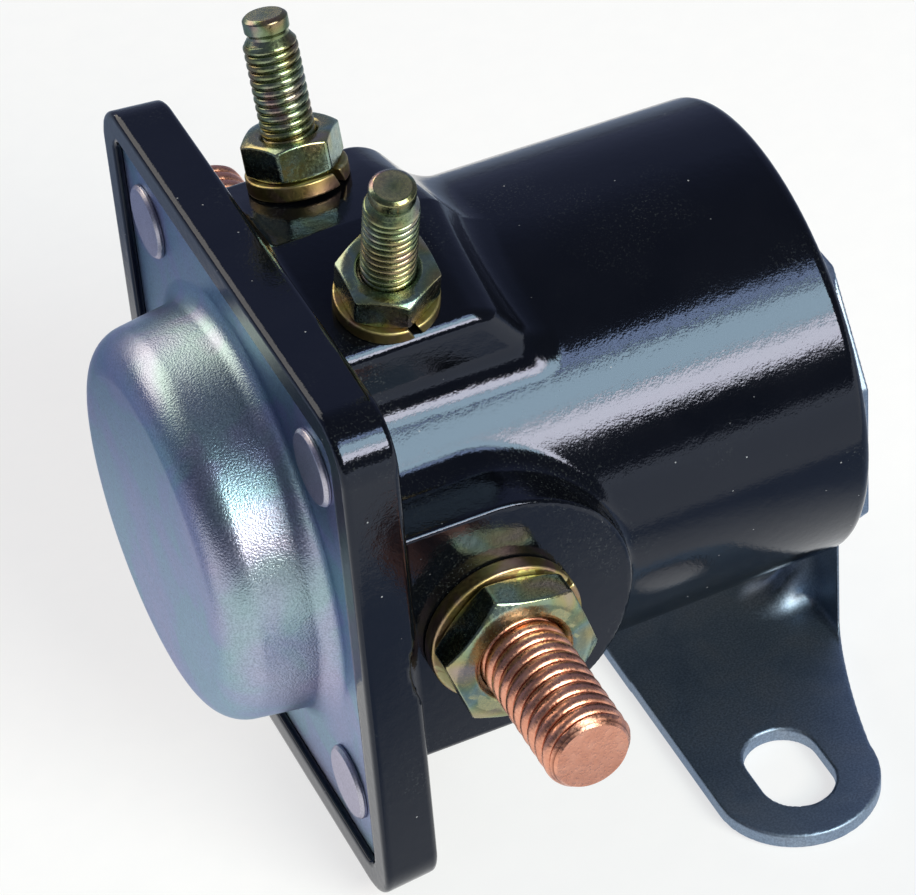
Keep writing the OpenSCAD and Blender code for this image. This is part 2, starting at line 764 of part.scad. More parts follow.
module coil_lead() placed() color([0.72, 0.36, 0.16]) small(-1)
  translate([tab_r, 0, -lead_depth]) along_x()
    cylinder(r = lead_r, h = coil_x + bobbin_flange - small_x - tab_r);

module ground_lead() placed() color([0.72, 0.36, 0.16])
  translate([coil_end - bobbin_flange, 0, -winding_r + bobbin_r / 2]) along_x()
    cylinder(r = lead_r, h = bobbin_flange);

// Strip that the disc touches as it closes, to feed the ignition terminal
module ignition_finger() placed() color([0.78, 0.5, 0.34]) small(1) {
  width = 2 * finger_half;
  drop = finger_depth - jog_depth + tab_t;
  strip_ring();
  translate([-tab_r, -finger_half, -jog_depth]) cube([tab_t, width, jog_depth - small_wall]);
  translate([-tab_r, -finger_half, -jog_depth]) cube([finger_x + tab_r + tab_t, width, tab_t]);
  translate([finger_x, -finger_half, -finger_depth]) cube([tab_t, width, drop]);
}

module battery_stud() heavy_stud(-1);
module motor_stud() heavy_stud(1);
module battery_washer() heavy_washer(-1, battery_split_angle);
module motor_washer() heavy_washer(1, motor_split_angle);
module battery_nut() heavy_nut(-1, battery_nut_angle);
module motor_nut() heavy_nut(1, motor_nut_angle);
module start_stud() small_stud(-1);
module ignition_stud() small_stud(1);
module start_washer() small_washer(-1, start_split_angle);
module ignition_washer() small_washer(1, ignition_split_angle);
module start_nut() small_nut(-1, start_nut_angle);
module ignition_nut() small_nut(1, ignition_nut_angle);

housing();
cover();
cover_gasket();
cover_rivets();
battery_stud();
motor_stud();
battery_washer();
motor_washer();
battery_nut();
motor_nut();
start_stud();
ignition_stud();
start_washer();
ignition_washer();
start_nut();
ignition_nut();
bracket();
core();
coil_can();
pole_plate();
insulator_plate();
bobbin();
winding();
coil_wrap();
plunger_sleeve();
plunger();
plunger_rod();
disc_bush();
contact_disc();
disc_washer();
contact_spring();
spring_clip();
return_spring();
start_tab();
coil_lead();
ground_lead();
ignition_finger();
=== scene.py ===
# %% [markdown]
# # A starter relay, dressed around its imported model
#
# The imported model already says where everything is, in metres. This lesson keeps
# it as a fixed frame, gives its plain pieces the finish of the real ones, and puts
# finer pieces where the real shape has rounded edges, threads or split washers.

# %% Tools and the frame
import json
import math

import bmesh
import bpy
import numpy as np
from mathutils import Matrix, Vector


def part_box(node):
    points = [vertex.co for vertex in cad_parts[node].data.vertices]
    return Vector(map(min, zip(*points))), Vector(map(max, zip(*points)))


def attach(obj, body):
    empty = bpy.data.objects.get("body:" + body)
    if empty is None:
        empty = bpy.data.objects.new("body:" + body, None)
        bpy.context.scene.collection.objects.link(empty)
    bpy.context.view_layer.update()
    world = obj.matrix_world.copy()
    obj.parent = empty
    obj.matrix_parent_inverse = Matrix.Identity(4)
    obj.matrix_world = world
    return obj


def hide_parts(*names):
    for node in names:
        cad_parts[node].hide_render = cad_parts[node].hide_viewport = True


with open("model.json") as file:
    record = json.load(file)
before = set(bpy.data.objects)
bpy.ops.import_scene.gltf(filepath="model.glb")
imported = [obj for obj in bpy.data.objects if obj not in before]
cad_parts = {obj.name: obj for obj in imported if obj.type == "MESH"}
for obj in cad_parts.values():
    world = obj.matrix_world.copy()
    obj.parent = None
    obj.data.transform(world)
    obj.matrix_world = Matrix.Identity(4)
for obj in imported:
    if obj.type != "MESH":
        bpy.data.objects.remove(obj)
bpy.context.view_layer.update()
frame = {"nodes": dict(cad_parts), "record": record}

# %% [markdown]
# The relay is drawn in the frame of its barrel: x from the front of the flange, y
# along the heavy terminals and z up to the small ones, in millimetres. One function
# moves that to the frame of the model, whose origin is between the bracket's slots.

# %% From the barrel's frame to the model's
MM = 0.001
SLOT_X, AXIS_Z = 39.4, 28.55


def placed(points):
    """Points of the barrel's frame, in mm, as points of the model's, in metres."""
    return (np.asarray(points, float) + (-SLOT_X, 0, AXIS_Z)) * MM


# %% [markdown]
# ## The camera
#
# The view was worked out from the corners of the flange, the rivets and the studs:
# a long lens, about 0.4 m away, looking down from the front left and rolled a little.

# %% Camera
VIEW_AZIMUTH, VIEW_ELEVATION, VIEW_ROLL = -21.332, 41.359, -4.97
VIEW_DISTANCE = 0.395073
VIEW_TARGET = Vector((-0.018454, 0, 0.026204))
LENS, SENSOR = 170.84, 36.0


def direction(azimuth, elevation):
    """Unit vector towards an azimuth, 0 at -Y and 90 at +X, and an elevation."""
    a, e = math.radians(azimuth), math.radians(elevation)
    return Vector((math.sin(a) * math.cos(e), -math.cos(a) * math.cos(e), math.sin(e)))


camera_data = bpy.data.cameras.new("camera")
camera_data.lens, camera_data.sensor_width = LENS, SENSOR
camera_data.clip_start, camera_data.clip_end = 0.01, 10
camera = bpy.data.objects.new("camera", camera_data)
bpy.context.scene.collection.objects.link(camera)
bpy.context.scene.camera = camera
back = direction(VIEW_AZIMUTH, VIEW_ELEVATION)
camera.location = VIEW_TARGET + back * VIEW_DISTANCE
camera.rotation_mode = "QUATERNION"
roll = Matrix.Rotation(math.radians(VIEW_ROLL), 4, "Z").to_quaternion()
camera.rotation_quaternion = (-back).to_track_quat("-Z", "Y") @ roll
bpy.context.scene.view_settings.view_transform = "Standard"
print("camera at", [round(v, 4) for v in camera.location])

# %% [markdown]
# ## The room
#
# The relay stood beside a window. The barrel mirrors it as one long band, bluish
# above and whitest at its sill, and the dome mirrors a second window behind it.

# %% Colours and nodes
def linear(hex_colour):
    """Linear RGBA of an sRGB hex colour."""
    channels = [int(hex_colour[i : i + 2], 16) / 255 for i in (1, 3, 5)]
    bent = [c / 12.92 if c <= 0.04045 else ((c + 0.055) / 1.055) ** 2.4 for c in channels]
    return (*bent, 1)


def fill(node, inputs):
    """Gives a node's inputs their values; another node's output is linked."""
    for key, value in inputs.items():
        if isinstance(value, bpy.types.NodeSocket):
            node.id_data.links.new(value, node.inputs[key])
        else:
            node.inputs[key].default_value = value


def add_node(tree, kind, inputs=None, **settings):
    """Adds a node to a tree, with its settings and its inputs by name or number."""
    node = tree.nodes.new(kind)
    for name, value in settings.items():
        setattr(node, name, value)
    fill(node, inputs or {})
    return node


# %% [markdown]
# A few kinds of nodes come back often. Each gets a function that returns the node's
# output, and every output knows the tree that it belongs to.

# %% Kinds of nodes
def noise(mm, size, detail, distortion=0.0):
    """Noise with grains of so many mm."""
    return add_node(mm.id_data, "ShaderNodeTexNoise", {
        "Vector": mm, "Scale": 1 / size, "Detail": detail, "Distortion": distortion}).outputs["Fac"]


def ramp(value, stops):
    """Colours along a value; each stop is a position and a hex colour."""
    node = add_node(value.id_data, "ShaderNodeValToRGB", {"Fac": value})
    elements = node.color_ramp.elements
    while len(elements) < len(stops):
        elements.new(1.0)
    for element, (position, colour) in zip(elements, stops):
        element.position, element.color = position, linear(colour)
    return node.outputs["Color"]


def span(value, low, high, to_low=0.0, to_high=1.0, **settings):
    """A value's span laid from one number to another, and held beyond its ends."""
    return add_node(value.id_data, "ShaderNodeMapRange", {
        "Value": value, "From Min": low, "From Max": high, "To Min": to_low, "To Max": to_high},
        **settings).outputs[0]


def maths(operation, *values):
    """Arithmetic with numbers, of which the first is an output."""
    return add_node(values[0].id_data, "ShaderNodeMath", dict(enumerate(values)),
                    operation=operation).outputs[0]


def vector_maths(operation, *values):
    """Arithmetic with vectors, of which the first is an output."""
    node = add_node(values[0].id_data, "ShaderNodeVectorMath", dict(enumerate(values)),
                    operation=operation)
    return node.outputs["Value" if operation == "LENGTH" else "Vector"]


def blend(part, one, other):
    """One colour, of which a part gives way to another."""
    return add_node(part.id_data, "ShaderNodeMix", {0: part, 6: one, 7: other},
                    data_type="RGBA").outputs[2]


def bump(height, metres, **under):
    """Bumps of so many metres, over others where they are given as Normal."""
    return add_node(height.id_data, "ShaderNodeBump", {
        "Height": height, "Distance": metres, **under}).outputs[0]


# %% [markdown]
# The paper is matt and lit by the windows. For the camera it is plain white, so that
# only a soft shadow is left. In what the relay mirrors, the paper is white in a pool
# around it and slate blue further out, because the real black gloss shows blue
# surroundings. Two cards, one in front and one left of the dome, are white again and
# throw light into copper and zinc.

# %% Paper floor
FLOOR_SIZE, FLOOR_DROP, PAPER_LIFT = 3.0, 0.0002, 0.7
POOL_CENTRE, POOL_HALF = (-0.0046, 0.0355, 0), (0.044, 0.068, 0)
POOL_FADE, POOL_TURN = 0.022, math.radians(29.8)
CARD_FRONT, CARD_LEFT, CARD_FADE = -0.067, -0.042, 0.006
bpy.ops.mesh.primitive_plane_add(size=FLOOR_SIZE, location=(0, 0, -FLOOR_DROP))
floor = bpy.context.object
floor.name = "paper_floor"
paper = bpy.data.materials.new("white_paper")
paper.use_nodes = True
tree = paper.node_tree
tree.nodes.clear()
fibres = add_node(tree, "ShaderNodeTexNoise", {"Scale": 900.0, "Detail": 4.0})
tone = ramp(fibres.outputs["Fac"], [(0.3, "#F7F8FA"), (0.7, "#FDFDFE")])
spot = add_node(tree, "ShaderNodeTexCoord").outputs["Object"]
in_pool = add_node(tree, "ShaderNodeMapping", {
    "Vector": spot, "Location": POOL_CENTRE, "Rotation": (0, 0, -POOL_TURN)},
    vector_type="TEXTURE").outputs[0]
beyond = vector_maths("SUBTRACT", vector_maths("ABSOLUTE", in_pool), POOL_HALF)
away = vector_maths("LENGTH", vector_maths("MAXIMUM", beyond, (0, 0, 0)))
pool = span(away, POOL_FADE, 0, interpolation_type="SMOOTHSTEP")
along = add_node(tree, "ShaderNodeSeparateXYZ", {0: spot}).outputs
front = span(along["Y"], CARD_FRONT, CARD_FRONT - CARD_FADE)
left = maths("MULTIPLY", span(along["X"], CARD_LEFT, CARD_LEFT - CARD_FADE),
             span(along["Y"], CARD_FADE, 0))
pool = maths("MAXIMUM", pool, maths("MAXIMUM", front, left))
rays = add_node(tree, "ShaderNodeLightPath").outputs
seen = rays["Is Camera Ray"]
tint = blend(maths("MAXIMUM", seen, pool), linear("#9DABC8"), tone)
sheet = add_node(tree, "ShaderNodeBsdfPrincipled", {
    "Base Color": tint, "Roughness": 0.9, "Specular IOR Level": 0.1})
mirrored = maths("MAXIMUM", rays["Is Glossy Ray"], rays["Is Transmission Ray"])
white = maths("MAXIMUM", seen, maths("MULTIPLY", mirrored, pool))
glow = add_node(tree, "ShaderNodeEmission")
both = add_node(tree, "ShaderNodeMixShader", {
    0: maths("MULTIPLY", white, PAPER_LIFT), 1: sheet.outputs[0], 2: glow.outputs[0]})
add_node(tree, "ShaderNodeOutputMaterial", {"Surface": both.outputs[0]})
floor.data.materials.append(paper)

# %% [markdown]
# The room is a gradient by height, bluish behind the relay and darker in front: two
# ramps mixed by how far a direction points to the back. The warm window behind is a
# patch of it, because its edge passes close beside what the barrel's top mirrors.

# %% Room
BACK_FADE = (-0.15, 0.6)
REAR_RADIANCE, REAR_EDGE = 2.6, 0.05
REAR_SIDES = (math.radians(-50), math.radians(9))
REAR_HEIGHTS = (math.sin(math.radians(17)), math.sin(math.radians(57)))
world = bpy.data.worlds.new("room")
bpy.context.scene.world = world
world.use_nodes = True
tree = world.node_tree
tree.nodes.clear()
where = add_node(tree, "ShaderNodeTexCoord").outputs["Generated"]
x, y, z = add_node(tree, "ShaderNodeSeparateXYZ", {0: where}).outputs
behind = ramp(z, [(0.0, "#78819F"), (0.12, "#757E9E"), (0.4, "#757E9F"), (0.65, "#8089AA"),
                  (1.0, "#5E6274")])
before = ramp(z, [(0.0, "#5C6274"), (0.2, "#535A6C"), (0.45, "#4E5462"), (0.7, "#575B6A"),
                  (1.0, "#666A7C")])
room = add_node(tree, "ShaderNodeBackground", {"Color": blend(span(y, *BACK_FADE), before, behind)})
glow = REAR_RADIANCE
for value, (low, high) in ((maths("ARCTAN2", x, y), REAR_SIDES), (z, REAR_HEIGHTS)):
    for start, end in ((low - REAR_EDGE, low), (high, high - REAR_EDGE)):
        glow = maths("MULTIPLY", span(value, start, end), glow)
rear_window = add_node(tree, "ShaderNodeBackground", {"Strength": glow, "Color": linear("#FFEFCE")})
lit_room = add_node(tree, "ShaderNodeAddShader", {0: room.outputs[0], 1: rear_window.outputs[0]})
add_node(tree, "ShaderNodeOutputWorld", {"Surface": lit_room.outputs[0]})

# %% Windows, as soft area lamps
ROOM_CENTRE, WINDOW_DISTANCE = Vector((0, 0, 0.03)), 1.2
WINDOW_AZIMUTH, WINDOW_WIDTH = 20, 0.64


def window(name, low, high, radiance, colour):
    """A lamp from one elevation to another, seen at an even brightness."""
    tall = 2 * WINDOW_DISTANCE * math.tan(math.radians((high - low) / 2))
    lamp = bpy.data.lights.new(name, "AREA")
    lamp.shape, lamp.size, lamp.size_y = "RECTANGLE", WINDOW_WIDTH, tall
    lamp.energy, lamp.color = radiance * math.pi * WINDOW_WIDTH * tall, linear(colour)[:3]
    holder = bpy.data.objects.new(name, lamp)
    bpy.context.scene.collection.objects.link(holder)
    out = direction(WINDOW_AZIMUTH, (low + high) / 2)
    holder.location = ROOM_CENTRE + out * WINDOW_DISTANCE
    holder.rotation_mode = "QUATERNION"
    holder.rotation_quaternion = (-out).to_track_quat("-Z", "Y")
    print(name, "is", round(tall, 3), "m tall, at", [round(v, 3) for v in holder.location])


window("window_sill", 20, 31, 21.0, "#FFF2E2")
window("window_sky", 32, 47, 12.0, "#EAFFF4")
window("window_top", 49, 54, 8.0, "#DCECFF")

# %% [markdown]
# ## Two ways to make a rounded solid
#
# The housing is one moulding: barrel, flange, roof and pads flow into each other
# with fillets, and every edge is a little round. Bevels on a cut-up mesh break where
# fillets meet, so the solid is a distance field, in which a fillet or a rounded cut
# is one line of arithmetic. A net is drawn where the field is zero, and its points
# get the field's slope as their normals, so that highlights run smoothly.

# %% Distance fields
def join(a, b, fillet):
    """Distance to two solids as one, with a fillet where they meet."""
    near = np.hypot(np.maximum(fillet - a, 0), np.maximum(fillet - b, 0))
    return np.maximum(fillet, np.minimum(a, b)) - near


def share(a, b, edge):
    """Distance to what two solids have in common, with a rounded edge."""
    near = np.hypot(np.maximum(edge + a, 0), np.maximum(edge + b, 0))
    return np.minimum(-edge, np.maximum(a, b)) + near


def cut(a, b, edge):
    """Distance to a solid with another one cut from it."""
    return share(a, -b, edge)


def slab(u, low, high):
    """Distance to what lies between two flat faces."""
    return np.maximum(low - u, u - high)


def oblong(u, v, half_u, half_v, corner):
    """Distance to a rectangle with round corners."""
    du, dv = abs(u) - half_u + corner, abs(v) - half_v + corner
    outside = np.hypot(np.maximum(du, 0), np.maximum(dv, 0))
    return outside + np.minimum(np.maximum(du, dv), 0) - corner


# %% Net over a field
CORNERS = np.array([(i, j, k) for i in (0, 1) for j in (0, 1) for k in (0, 1)])
CELL_EDGES = [(a, b) for b in range(8) for a in range(b) if abs(CORNERS[a] - CORNERS[b]).sum() == 1]


def net(field, low, high, step):
    """Points and four-sided faces where a field crosses zero, in the field's units."""
    axes = [np.arange(a - 1.5 * step, b + 2.5 * step, step) for a, b in zip(low, high)]
    values = field(*np.meshgrid(*axes, indexing="ij", sparse=True))
    inside = values < 0
    cells = [n - 1 for n in inside.shape]
    count = sum(inside[tuple(slice(c, c + n) for c, n in zip(corner, cells))].astype(np.int8)
                for corner in CORNERS)
    crossed = np.argwhere((count > 0) & (count < 8))
    number = np.full(cells, -1, np.int32)
    number[tuple(crossed.T)] = np.arange(len(crossed))
    at = values[tuple((crossed[:, None, :] + CORNERS).transpose(2, 0, 1))]
    total, hits = np.zeros((len(crossed), 3)), np.zeros(len(crossed))
    for a, b in CELL_EDGES:
        change = (at[:, a] < 0) != (at[:, b] < 0)
        part = at[change, a] / (at[change, a] - at[change, b])
        total[change] += CORNERS[a] + part[:, None] * (CORNERS[b] - CORNERS[a])
        hits[change] += 1
    points = (crossed + total / hits[:, None]) * step + [axis[0] for axis in axes]
    faces = []
    for d in range(3):
        u, v = (d + 1) % 3, (d + 2) % 3
        first, second = [slice(1, -1)] * 3, [slice(1, -1)] * 3
        first[d], second[d] = slice(0, -1), slice(1, None)
        one, two = inside[tuple(first)], inside[tuple(second)]
        place = np.argwhere(one != two)
        outward = one[tuple(place.T)]
        around = []
        for su, sv in ((0, 0), (1, 0), (1, 1), (0, 1)):
            cell = place.copy()
            cell[:, u] += su
            cell[:, v] += sv
            around.append(number[tuple(cell.T)])
        quads = np.stack(around, 1)
        quads[~outward] = quads[~outward][:, ::-1]
        faces.append(quads)
    return points, np.concatenate(faces)


# %% Slope of a field, and points set on it
SLOPE_STEP = 0.01


def slope(field, points):
    """Unit outward direction of a field at each point."""
    x, y, z = points.T
    ways = [field(x + SLOPE_STEP * i, y + SLOPE_STEP * j, z + SLOPE_STEP * k)
            - field(x - SLOPE_STEP * i, y - SLOPE_STEP * j, z - SLOPE_STEP * k)
            for i, j, k in ((1, 0, 0), (0, 1, 0), (0, 0, 1))]
    out = np.stack(ways, 1)
    return out / np.maximum(np.linalg.norm(out, axis=1), 1e-9)[:, None]


def settle(field, points, step):
    """Moves points onto the place where the field is zero."""
    for _ in range(3):
        gap = np.clip(field(*points.T), -step, step)
        points = points - gap[:, None] * slope(field, points)
    return points


# %% A mesh, its normals and its place on the relay
def mesh_from(name, points, faces, normals=None):
    """A smooth mesh from points in mm of the barrel's frame."""
    mesh = bpy.data.meshes.new(name)
    mesh.from_pydata(placed(points), [], faces)
    mesh.validate()
    mesh.shade_smooth()
    if normals is not None:
        mesh.normals_split_custom_set_from_vertices(np.asarray(normals, float).tolist())
    return mesh


def thin_out(points, faces, share_kept):
    """Collapses a net until only a share of its faces is left, flat places first."""
    holder = bpy.data.objects.new("net", bpy.data.meshes.new("net"))
    holder.data.from_pydata(points, [], faces)
    bpy.context.scene.collection.objects.link(holder)
    collapse = holder.modifiers.new("collapse", "DECIMATE")
    collapse.ratio = share_kept
    thin = holder.evaluated_get(bpy.context.evaluated_depsgraph_get()).to_mesh()
    kept = np.array([v.co[:] for v in thin.vertices])
    faces = [p.vertices[:] for p in thin.polygons]
    bpy.data.objects.remove(holder)
    return kept, faces


def skin(name, field, low, high, step, share_kept, to_barrel=lambda p: p):
    """Mesh of a field's solid. to_barrel turns the field's own frame to the barrel's."""
    points, faces = net(field, low, high, step)
    points, faces = thin_out(settle(field, points, step), faces, share_kept)
    points = settle(field, points, step)
    normals = to_barrel(slope(field, points)) - to_barrel(np.zeros((1, 3)))
    print(name, len(faces), "faces")
    return mesh_from(name, to_barrel(points), faces, normals)


made = set()  # nodes of the model that have a finer piece


def add_piece(mesh, body, node, finish):
    """Puts a mesh on the relay in the place of a node of the model."""
    piece = bpy.data.objects.new(mesh.name, mesh)
    bpy.context.scene.collection.objects.link(piece)
    mesh.materials.append(finish)
    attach(piece, body)
    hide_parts(node)
    made.add(node)


# %% [markdown]
# Turned pieces are rows of points round an axis. The corners of their outline are
# short arcs, which give the points their normals, so that flat faces look flat.

# %% Turned pieces
ROUND_STEPS = 4


def outward(way):
    """Unit normal of a stretch of outline."""
    return np.array((way[1], -way[0])) / np.linalg.norm(way)


def soften(corners, radius):
    """Points and normals of an open outline, radius by height, with round corners."""
    corners = [np.array(c, float) for c in corners]
    points, normals = [corners[0]], [outward(corners[1] - corners[0])]
    for before_it, corner, after_it in zip(corners, corners[1:], corners[2:]):
        way_in, way_out = corner - before_it, after_it - corner
        room_left = min(np.linalg.norm(way_in), np.linalg.norm(way_out)) / 2
        way_in, way_out = way_in / np.linalg.norm(way_in), way_out / np.linalg.norm(way_out)
        turn = math.acos(np.clip(way_in @ way_out, -1, 1))
        back_off = min(radius * math.tan(turn / 2), room_left)
        start, end = corner - way_in * back_off, corner + way_out * back_off
        for i in range(ROUND_STEPS + 1):
            t = i / ROUND_STEPS
            points.append((1 - t) ** 2 * start + 2 * t * (1 - t) * corner + t ** 2 * end)
            normals.append(outward((1 - t) * way_in + t * way_out))
    points.append(corners[-1])
    normals.append(outward(corners[-1] - corners[-2]))
    return np.array(points), np.array(normals)


def ring_faces(rows, segments):
    """Faces between rows of points that each close into a ring."""
    return [(i * segments + j, i * segments + (j + 1) % segments,
             (i + 1) * segments + (j + 1) % segments, (i + 1) * segments + j)
            for i in range(rows - 1) for j in range(segments)]


def turned(corners, radius, segments):
    """Points, faces and normals of an outline turned about the z axis."""
    outline, slopes = soften(corners, radius)
    angle = np.linspace(0, 2 * math.pi, segments, endpoint=False)
    ring = np.stack([np.cos(angle), np.sin(angle)], 1)
    points, normals = [
        np.concatenate([np.column_stack([r * ring, np.full(segments, z)]) for r, z in pairs])
        for pairs in (outline, slopes)]
    return points, ring_faces(len(outline), segments), normals


def gathered(parts):
    """Several sets of points, faces and normals as one."""
    points, faces, normals, first = [], [], [], 0
    for part_points, part_faces, part_normals in parts:
        points.append(part_points)
        normals.append(part_normals)
        faces += [[first + k for k in face] for face in part_faces]
        first += len(part_points)
    return np.concatenate(points), faces, np.concatenate(normals)


# %% [markdown]
# ## Finishes
#
# Every finish starts from one shader and from the piece's own coordinates in
# millimetres, so that each pattern has the size it has on the real part. Bumps are
# given in metres of height.

# %% Blank finish
def new_finish(name, **settings):
    """A material, its shader and its coordinates in mm."""
    finish = bpy.data.materials.new(name)
    finish.use_nodes = True
    shader = finish.node_tree.nodes["Principled BSDF"]
    fill(shader, {key.replace("_", " "): value for key, value in settings.items()})
    spot = add_node(finish.node_tree, "ShaderNodeTexCoord").outputs["Object"]
    return finish, shader, vector_maths("MULTIPLY", spot, (1 / MM, 1 / MM, 1 / MM))


def coat(shader, colour, roughness, normal):
    """Links what varies over every finish."""
    fill(shader, {"Base Color": colour, "Roughness": roughness, "Normal": normal})


def edges(mm, low, high, most):
    """How much of a place is an outer edge, by how sharp it is."""
    shape = add_node(mm.id_data, "ShaderNodeNewGeometry")
    return span(shape.outputs["Pointiness"], low, high, 0, most)


# %% [markdown]
# The housing is phenolic from a polished mould: black with a navy cast, glossy as
# piano lacquer, with the faint grain of its filler, which frays the edges of the
# window's reflection. Dust has settled on it, and its edges show thin brown lines
# where the resin skin is broken.

# %% Glossy black phenolic
PEEL, PEEL_HEIGHT, GRAIN, GRAIN_HEIGHT = 0.9, 1.6e-5, 0.2, 1.0e-5
SPECK_CELL, SPECK_SIZE, SPECK_SHARE = 1.8, 0.1, 0.5
DUST_GRAIN, DUST_PATCH, DULLING, TEAR = 0.22, 11, 0.45, 3.5
# the blue specular tint paints the reflections blue, standing in for bluish light in the room
phenolic, shader, mm = new_finish("glossy_black_phenolic", IOR=1.47,
                                  Specular_Tint=(0.62, 0.72, 1.0, 1))
cloud = noise(mm, 7, 3.0)
resin = ramp(cloud, [(0.35, "#050609"), (0.65, "#08090D")])
cell = add_node(mm.id_data, "ShaderNodeTexVoronoi", {"Vector": mm, "Scale": 1 / SPECK_CELL}).outputs
near = span(cell["Distance"], SPECK_SIZE / SPECK_CELL, 0.5 * SPECK_SIZE / SPECK_CELL)
lot = add_node(mm.id_data, "ShaderNodeSeparateColor", {0: cell["Color"]}).outputs[0]
speck = maths("MULTIPLY", near, maths("LESS_THAN", lot, SPECK_SHARE))
dust = maths("MULTIPLY", span(noise(mm, DUST_GRAIN, 2.0), 0.58, 0.72),
             span(noise(mm, DUST_PATCH, 2.0), 0.5, 0.72, 0, 0.5))
dusty = blend(dust, resin, linear("#4A4F4E"))
specked = blend(speck, dusty, linear("#9C9EA2"))
flash = maths("MULTIPLY", edges(mm, 0.6, 0.7, 1), span(noise(mm, TEAR, 4.0), 0.5, 0.62, 0, 0.6))
edged = blend(flash, specked, linear("#45301F"))
gloss = span(cloud, 0.3, 0.7, 0.07, 0.11)
rough = maths("MULTIPLY_ADD", maths("MAXIMUM", speck, dust), DULLING, gloss)
soft = bump(noise(mm, PEEL, 1.5), PEEL_HEIGHT)
coat(shader, edged, rough, bump(noise(mm, GRAIN, 2.0), GRAIN_HEIGHT, Normal=soft))

# %% [markdown]
# The cover is steel sheet with a blue zinc plating: bright, cold, and frosted by fine
# crystals that sparkle where a highlight ends. Its chromate film drifts from lilac to
# teal over a few millimetres. The rivets have a drier, more lilac zinc, and the
# bracket a plainer and darker one, so one cell makes all three from their own values.

# %% Blue zinc, in three coats
def zinc(name, stops, roughness, crystal, height, drift, edge_tint):
    """Zinc plating: film colours, crystals' size and height in mm and m, tint at grazing."""
    finish, shader, mm = new_finish(name, Metallic=1.0, Specular_Tint=edge_tint)
    colour = ramp(noise(mm, drift, 2.0, 0.6), stops)
    frost = noise(mm, crystal, 1.0)
    grainy = vector_maths("MULTIPLY", colour, span(frost, 0.35, 0.65, 0.8, 1.1))
    coat(shader, grainy, span(frost, 0, 1, roughness - 0.06, roughness + 0.06), bump(frost, height))
    return finish


cover_zinc = zinc(
    "frosted_blue_zinc",
    [(0.3, "#A4B6C4"), (0.45, "#A0B8C0"), (0.55, "#A8B0C6"), (0.7, "#B2B0C8")],
    0.31, 0.17, 3.2e-5, 9.0, (0.6, 0.68, 0.84, 1))
rivet_zinc = zinc("satin_lilac_zinc", [(0.35, "#BEBCC8"), (0.65, "#C8C6D2")],
                  0.36, 0.12, 1.0e-5, 4.0, (0.8, 0.78, 0.9, 1))
bracket_zinc = zinc("plain_blue_zinc", [(0.3, "#8192A8"), (0.5, "#8C9CB0"), (0.7, "#94A0B0")],
                    0.48, 0.2, 1.2e-5, 6.0, (0.8, 0.88, 1.0, 1))

# %% [markdown]
# Nuts, washers and small terminals carry yellow chromate over zinc. The film's
# thickness varies, so gold runs into olive, sea green and pink within a few
# millimetres, like oil on water. Sharp edges are painted pale gold: wear, and a painted highlight.

# %% Yellow chromate
SCUFF = 0.3


def chromate(name, stops, drift, roughness):
    """Yellow chromate whose colours drift over so many millimetres."""
    finish, shader, mm = new_finish(name, Metallic=1.0)
    colour = ramp(noise(mm, drift, 1.0, 0.4), stops)
    # sharp edges painted pale gold, partly wear and partly a painted edge highlight
    edge_wear_and_highlight = blend(edges(mm, 0.52, 0.6, 0.7), colour, linear("#D8D09A"))
    scuff = noise(mm, SCUFF, 4.0)
    matt = span(scuff, 0.3, 0.7, roughness - 0.07, roughness + 0.09)
    coat(shader, edge_wear_and_highlight, matt, bump(scuff, 1.5e-5))
    return finish


nut_chromate = chromate(
    "yellow_chromate",
    [(0.25, "#A8988C"), (0.4, "#A39B72"), (0.5, "#8C9A78"), (0.6, "#8CA298"), (0.75, "#A39A72")],
    4.2, 0.22)
washer_chromate = chromate(
    "warm_yellow_chromate",
    [(0.3, "#B08E80"), (0.45, "#A8905E"), (0.58, "#A09258"), (0.72, "#A88478")], 3.5, 0.38)
stud_chromate = chromate(
    "green_yellow_chromate",
    [(0.25, "#987A72"), (0.4, "#8E8660"), (0.5, "#788864"), (0.6, "#8E9C84"), (0.75, "#9C8484")],
    3.6, 0.26)

# %% [markdown]
# The heavy terminals are copper, rolled and left bare: a dull pink that turns dark
# brown towards the roots of the thread. The roots lie nearer to the axis, so the
# distance from the axis, taken in the coordinates of the model, tells where it darkens.

# %% Bare rolled copper
STUD_X = 13.7
ROOT_DARK_START_R, ROOT_DARK_FULL_R, ROOT_DARK_MOST, TIP_Y = 3.66, 3.46, 0.85, 42.9
TARNISH, PIT = 1.6, 0.25
copper, shader, mm = new_finish("bare_rolled_copper", Metallic=1.0)
metal = ramp(noise(mm, TARNISH, 4.0), [(0.3, "#E29C80"), (0.55, "#ECA88C"), (0.75, "#F4B498")])
from_axis = vector_maths("SUBTRACT", mm, (STUD_X - SLOT_X, 0, AXIS_Z))
radius = vector_maths("LENGTH", vector_maths("MULTIPLY", from_axis, (1, 0, 1)))
out = maths("ABSOLUTE", add_node(mm.id_data, "ShaderNodeSeparateXYZ", {0: mm}).outputs["Y"])
# dark brown towards the roots of the thread, not on the tip
root_darkening = maths("MULTIPLY", span(radius, ROOT_DARK_START_R, ROOT_DARK_FULL_R, 0, ROOT_DARK_MOST),
             maths("LESS_THAN", out, TIP_Y))
pitted = noise(mm, PIT, 3.0)
coat(shader, blend(root_darkening, metal, linear("#5E2E24")), span(pitted, 0.3, 0.7, 0.22, 0.42),
     bump(pitted, 2.5e-5))

# %% [markdown]
# ## The housing
#
# Barrel, pads, roof and flange are joined in that order. The roof slopes down to
# both sides, square to each small terminal, and slopes away behind. The pads are
# round behind and run into the flange, which gets a little smaller towards its back,
# as a moulding must. The spot face of a terminal nicks the flange's back: that gives
# the wavy line beside the nut. The hollow leaves room for coil and contacts.

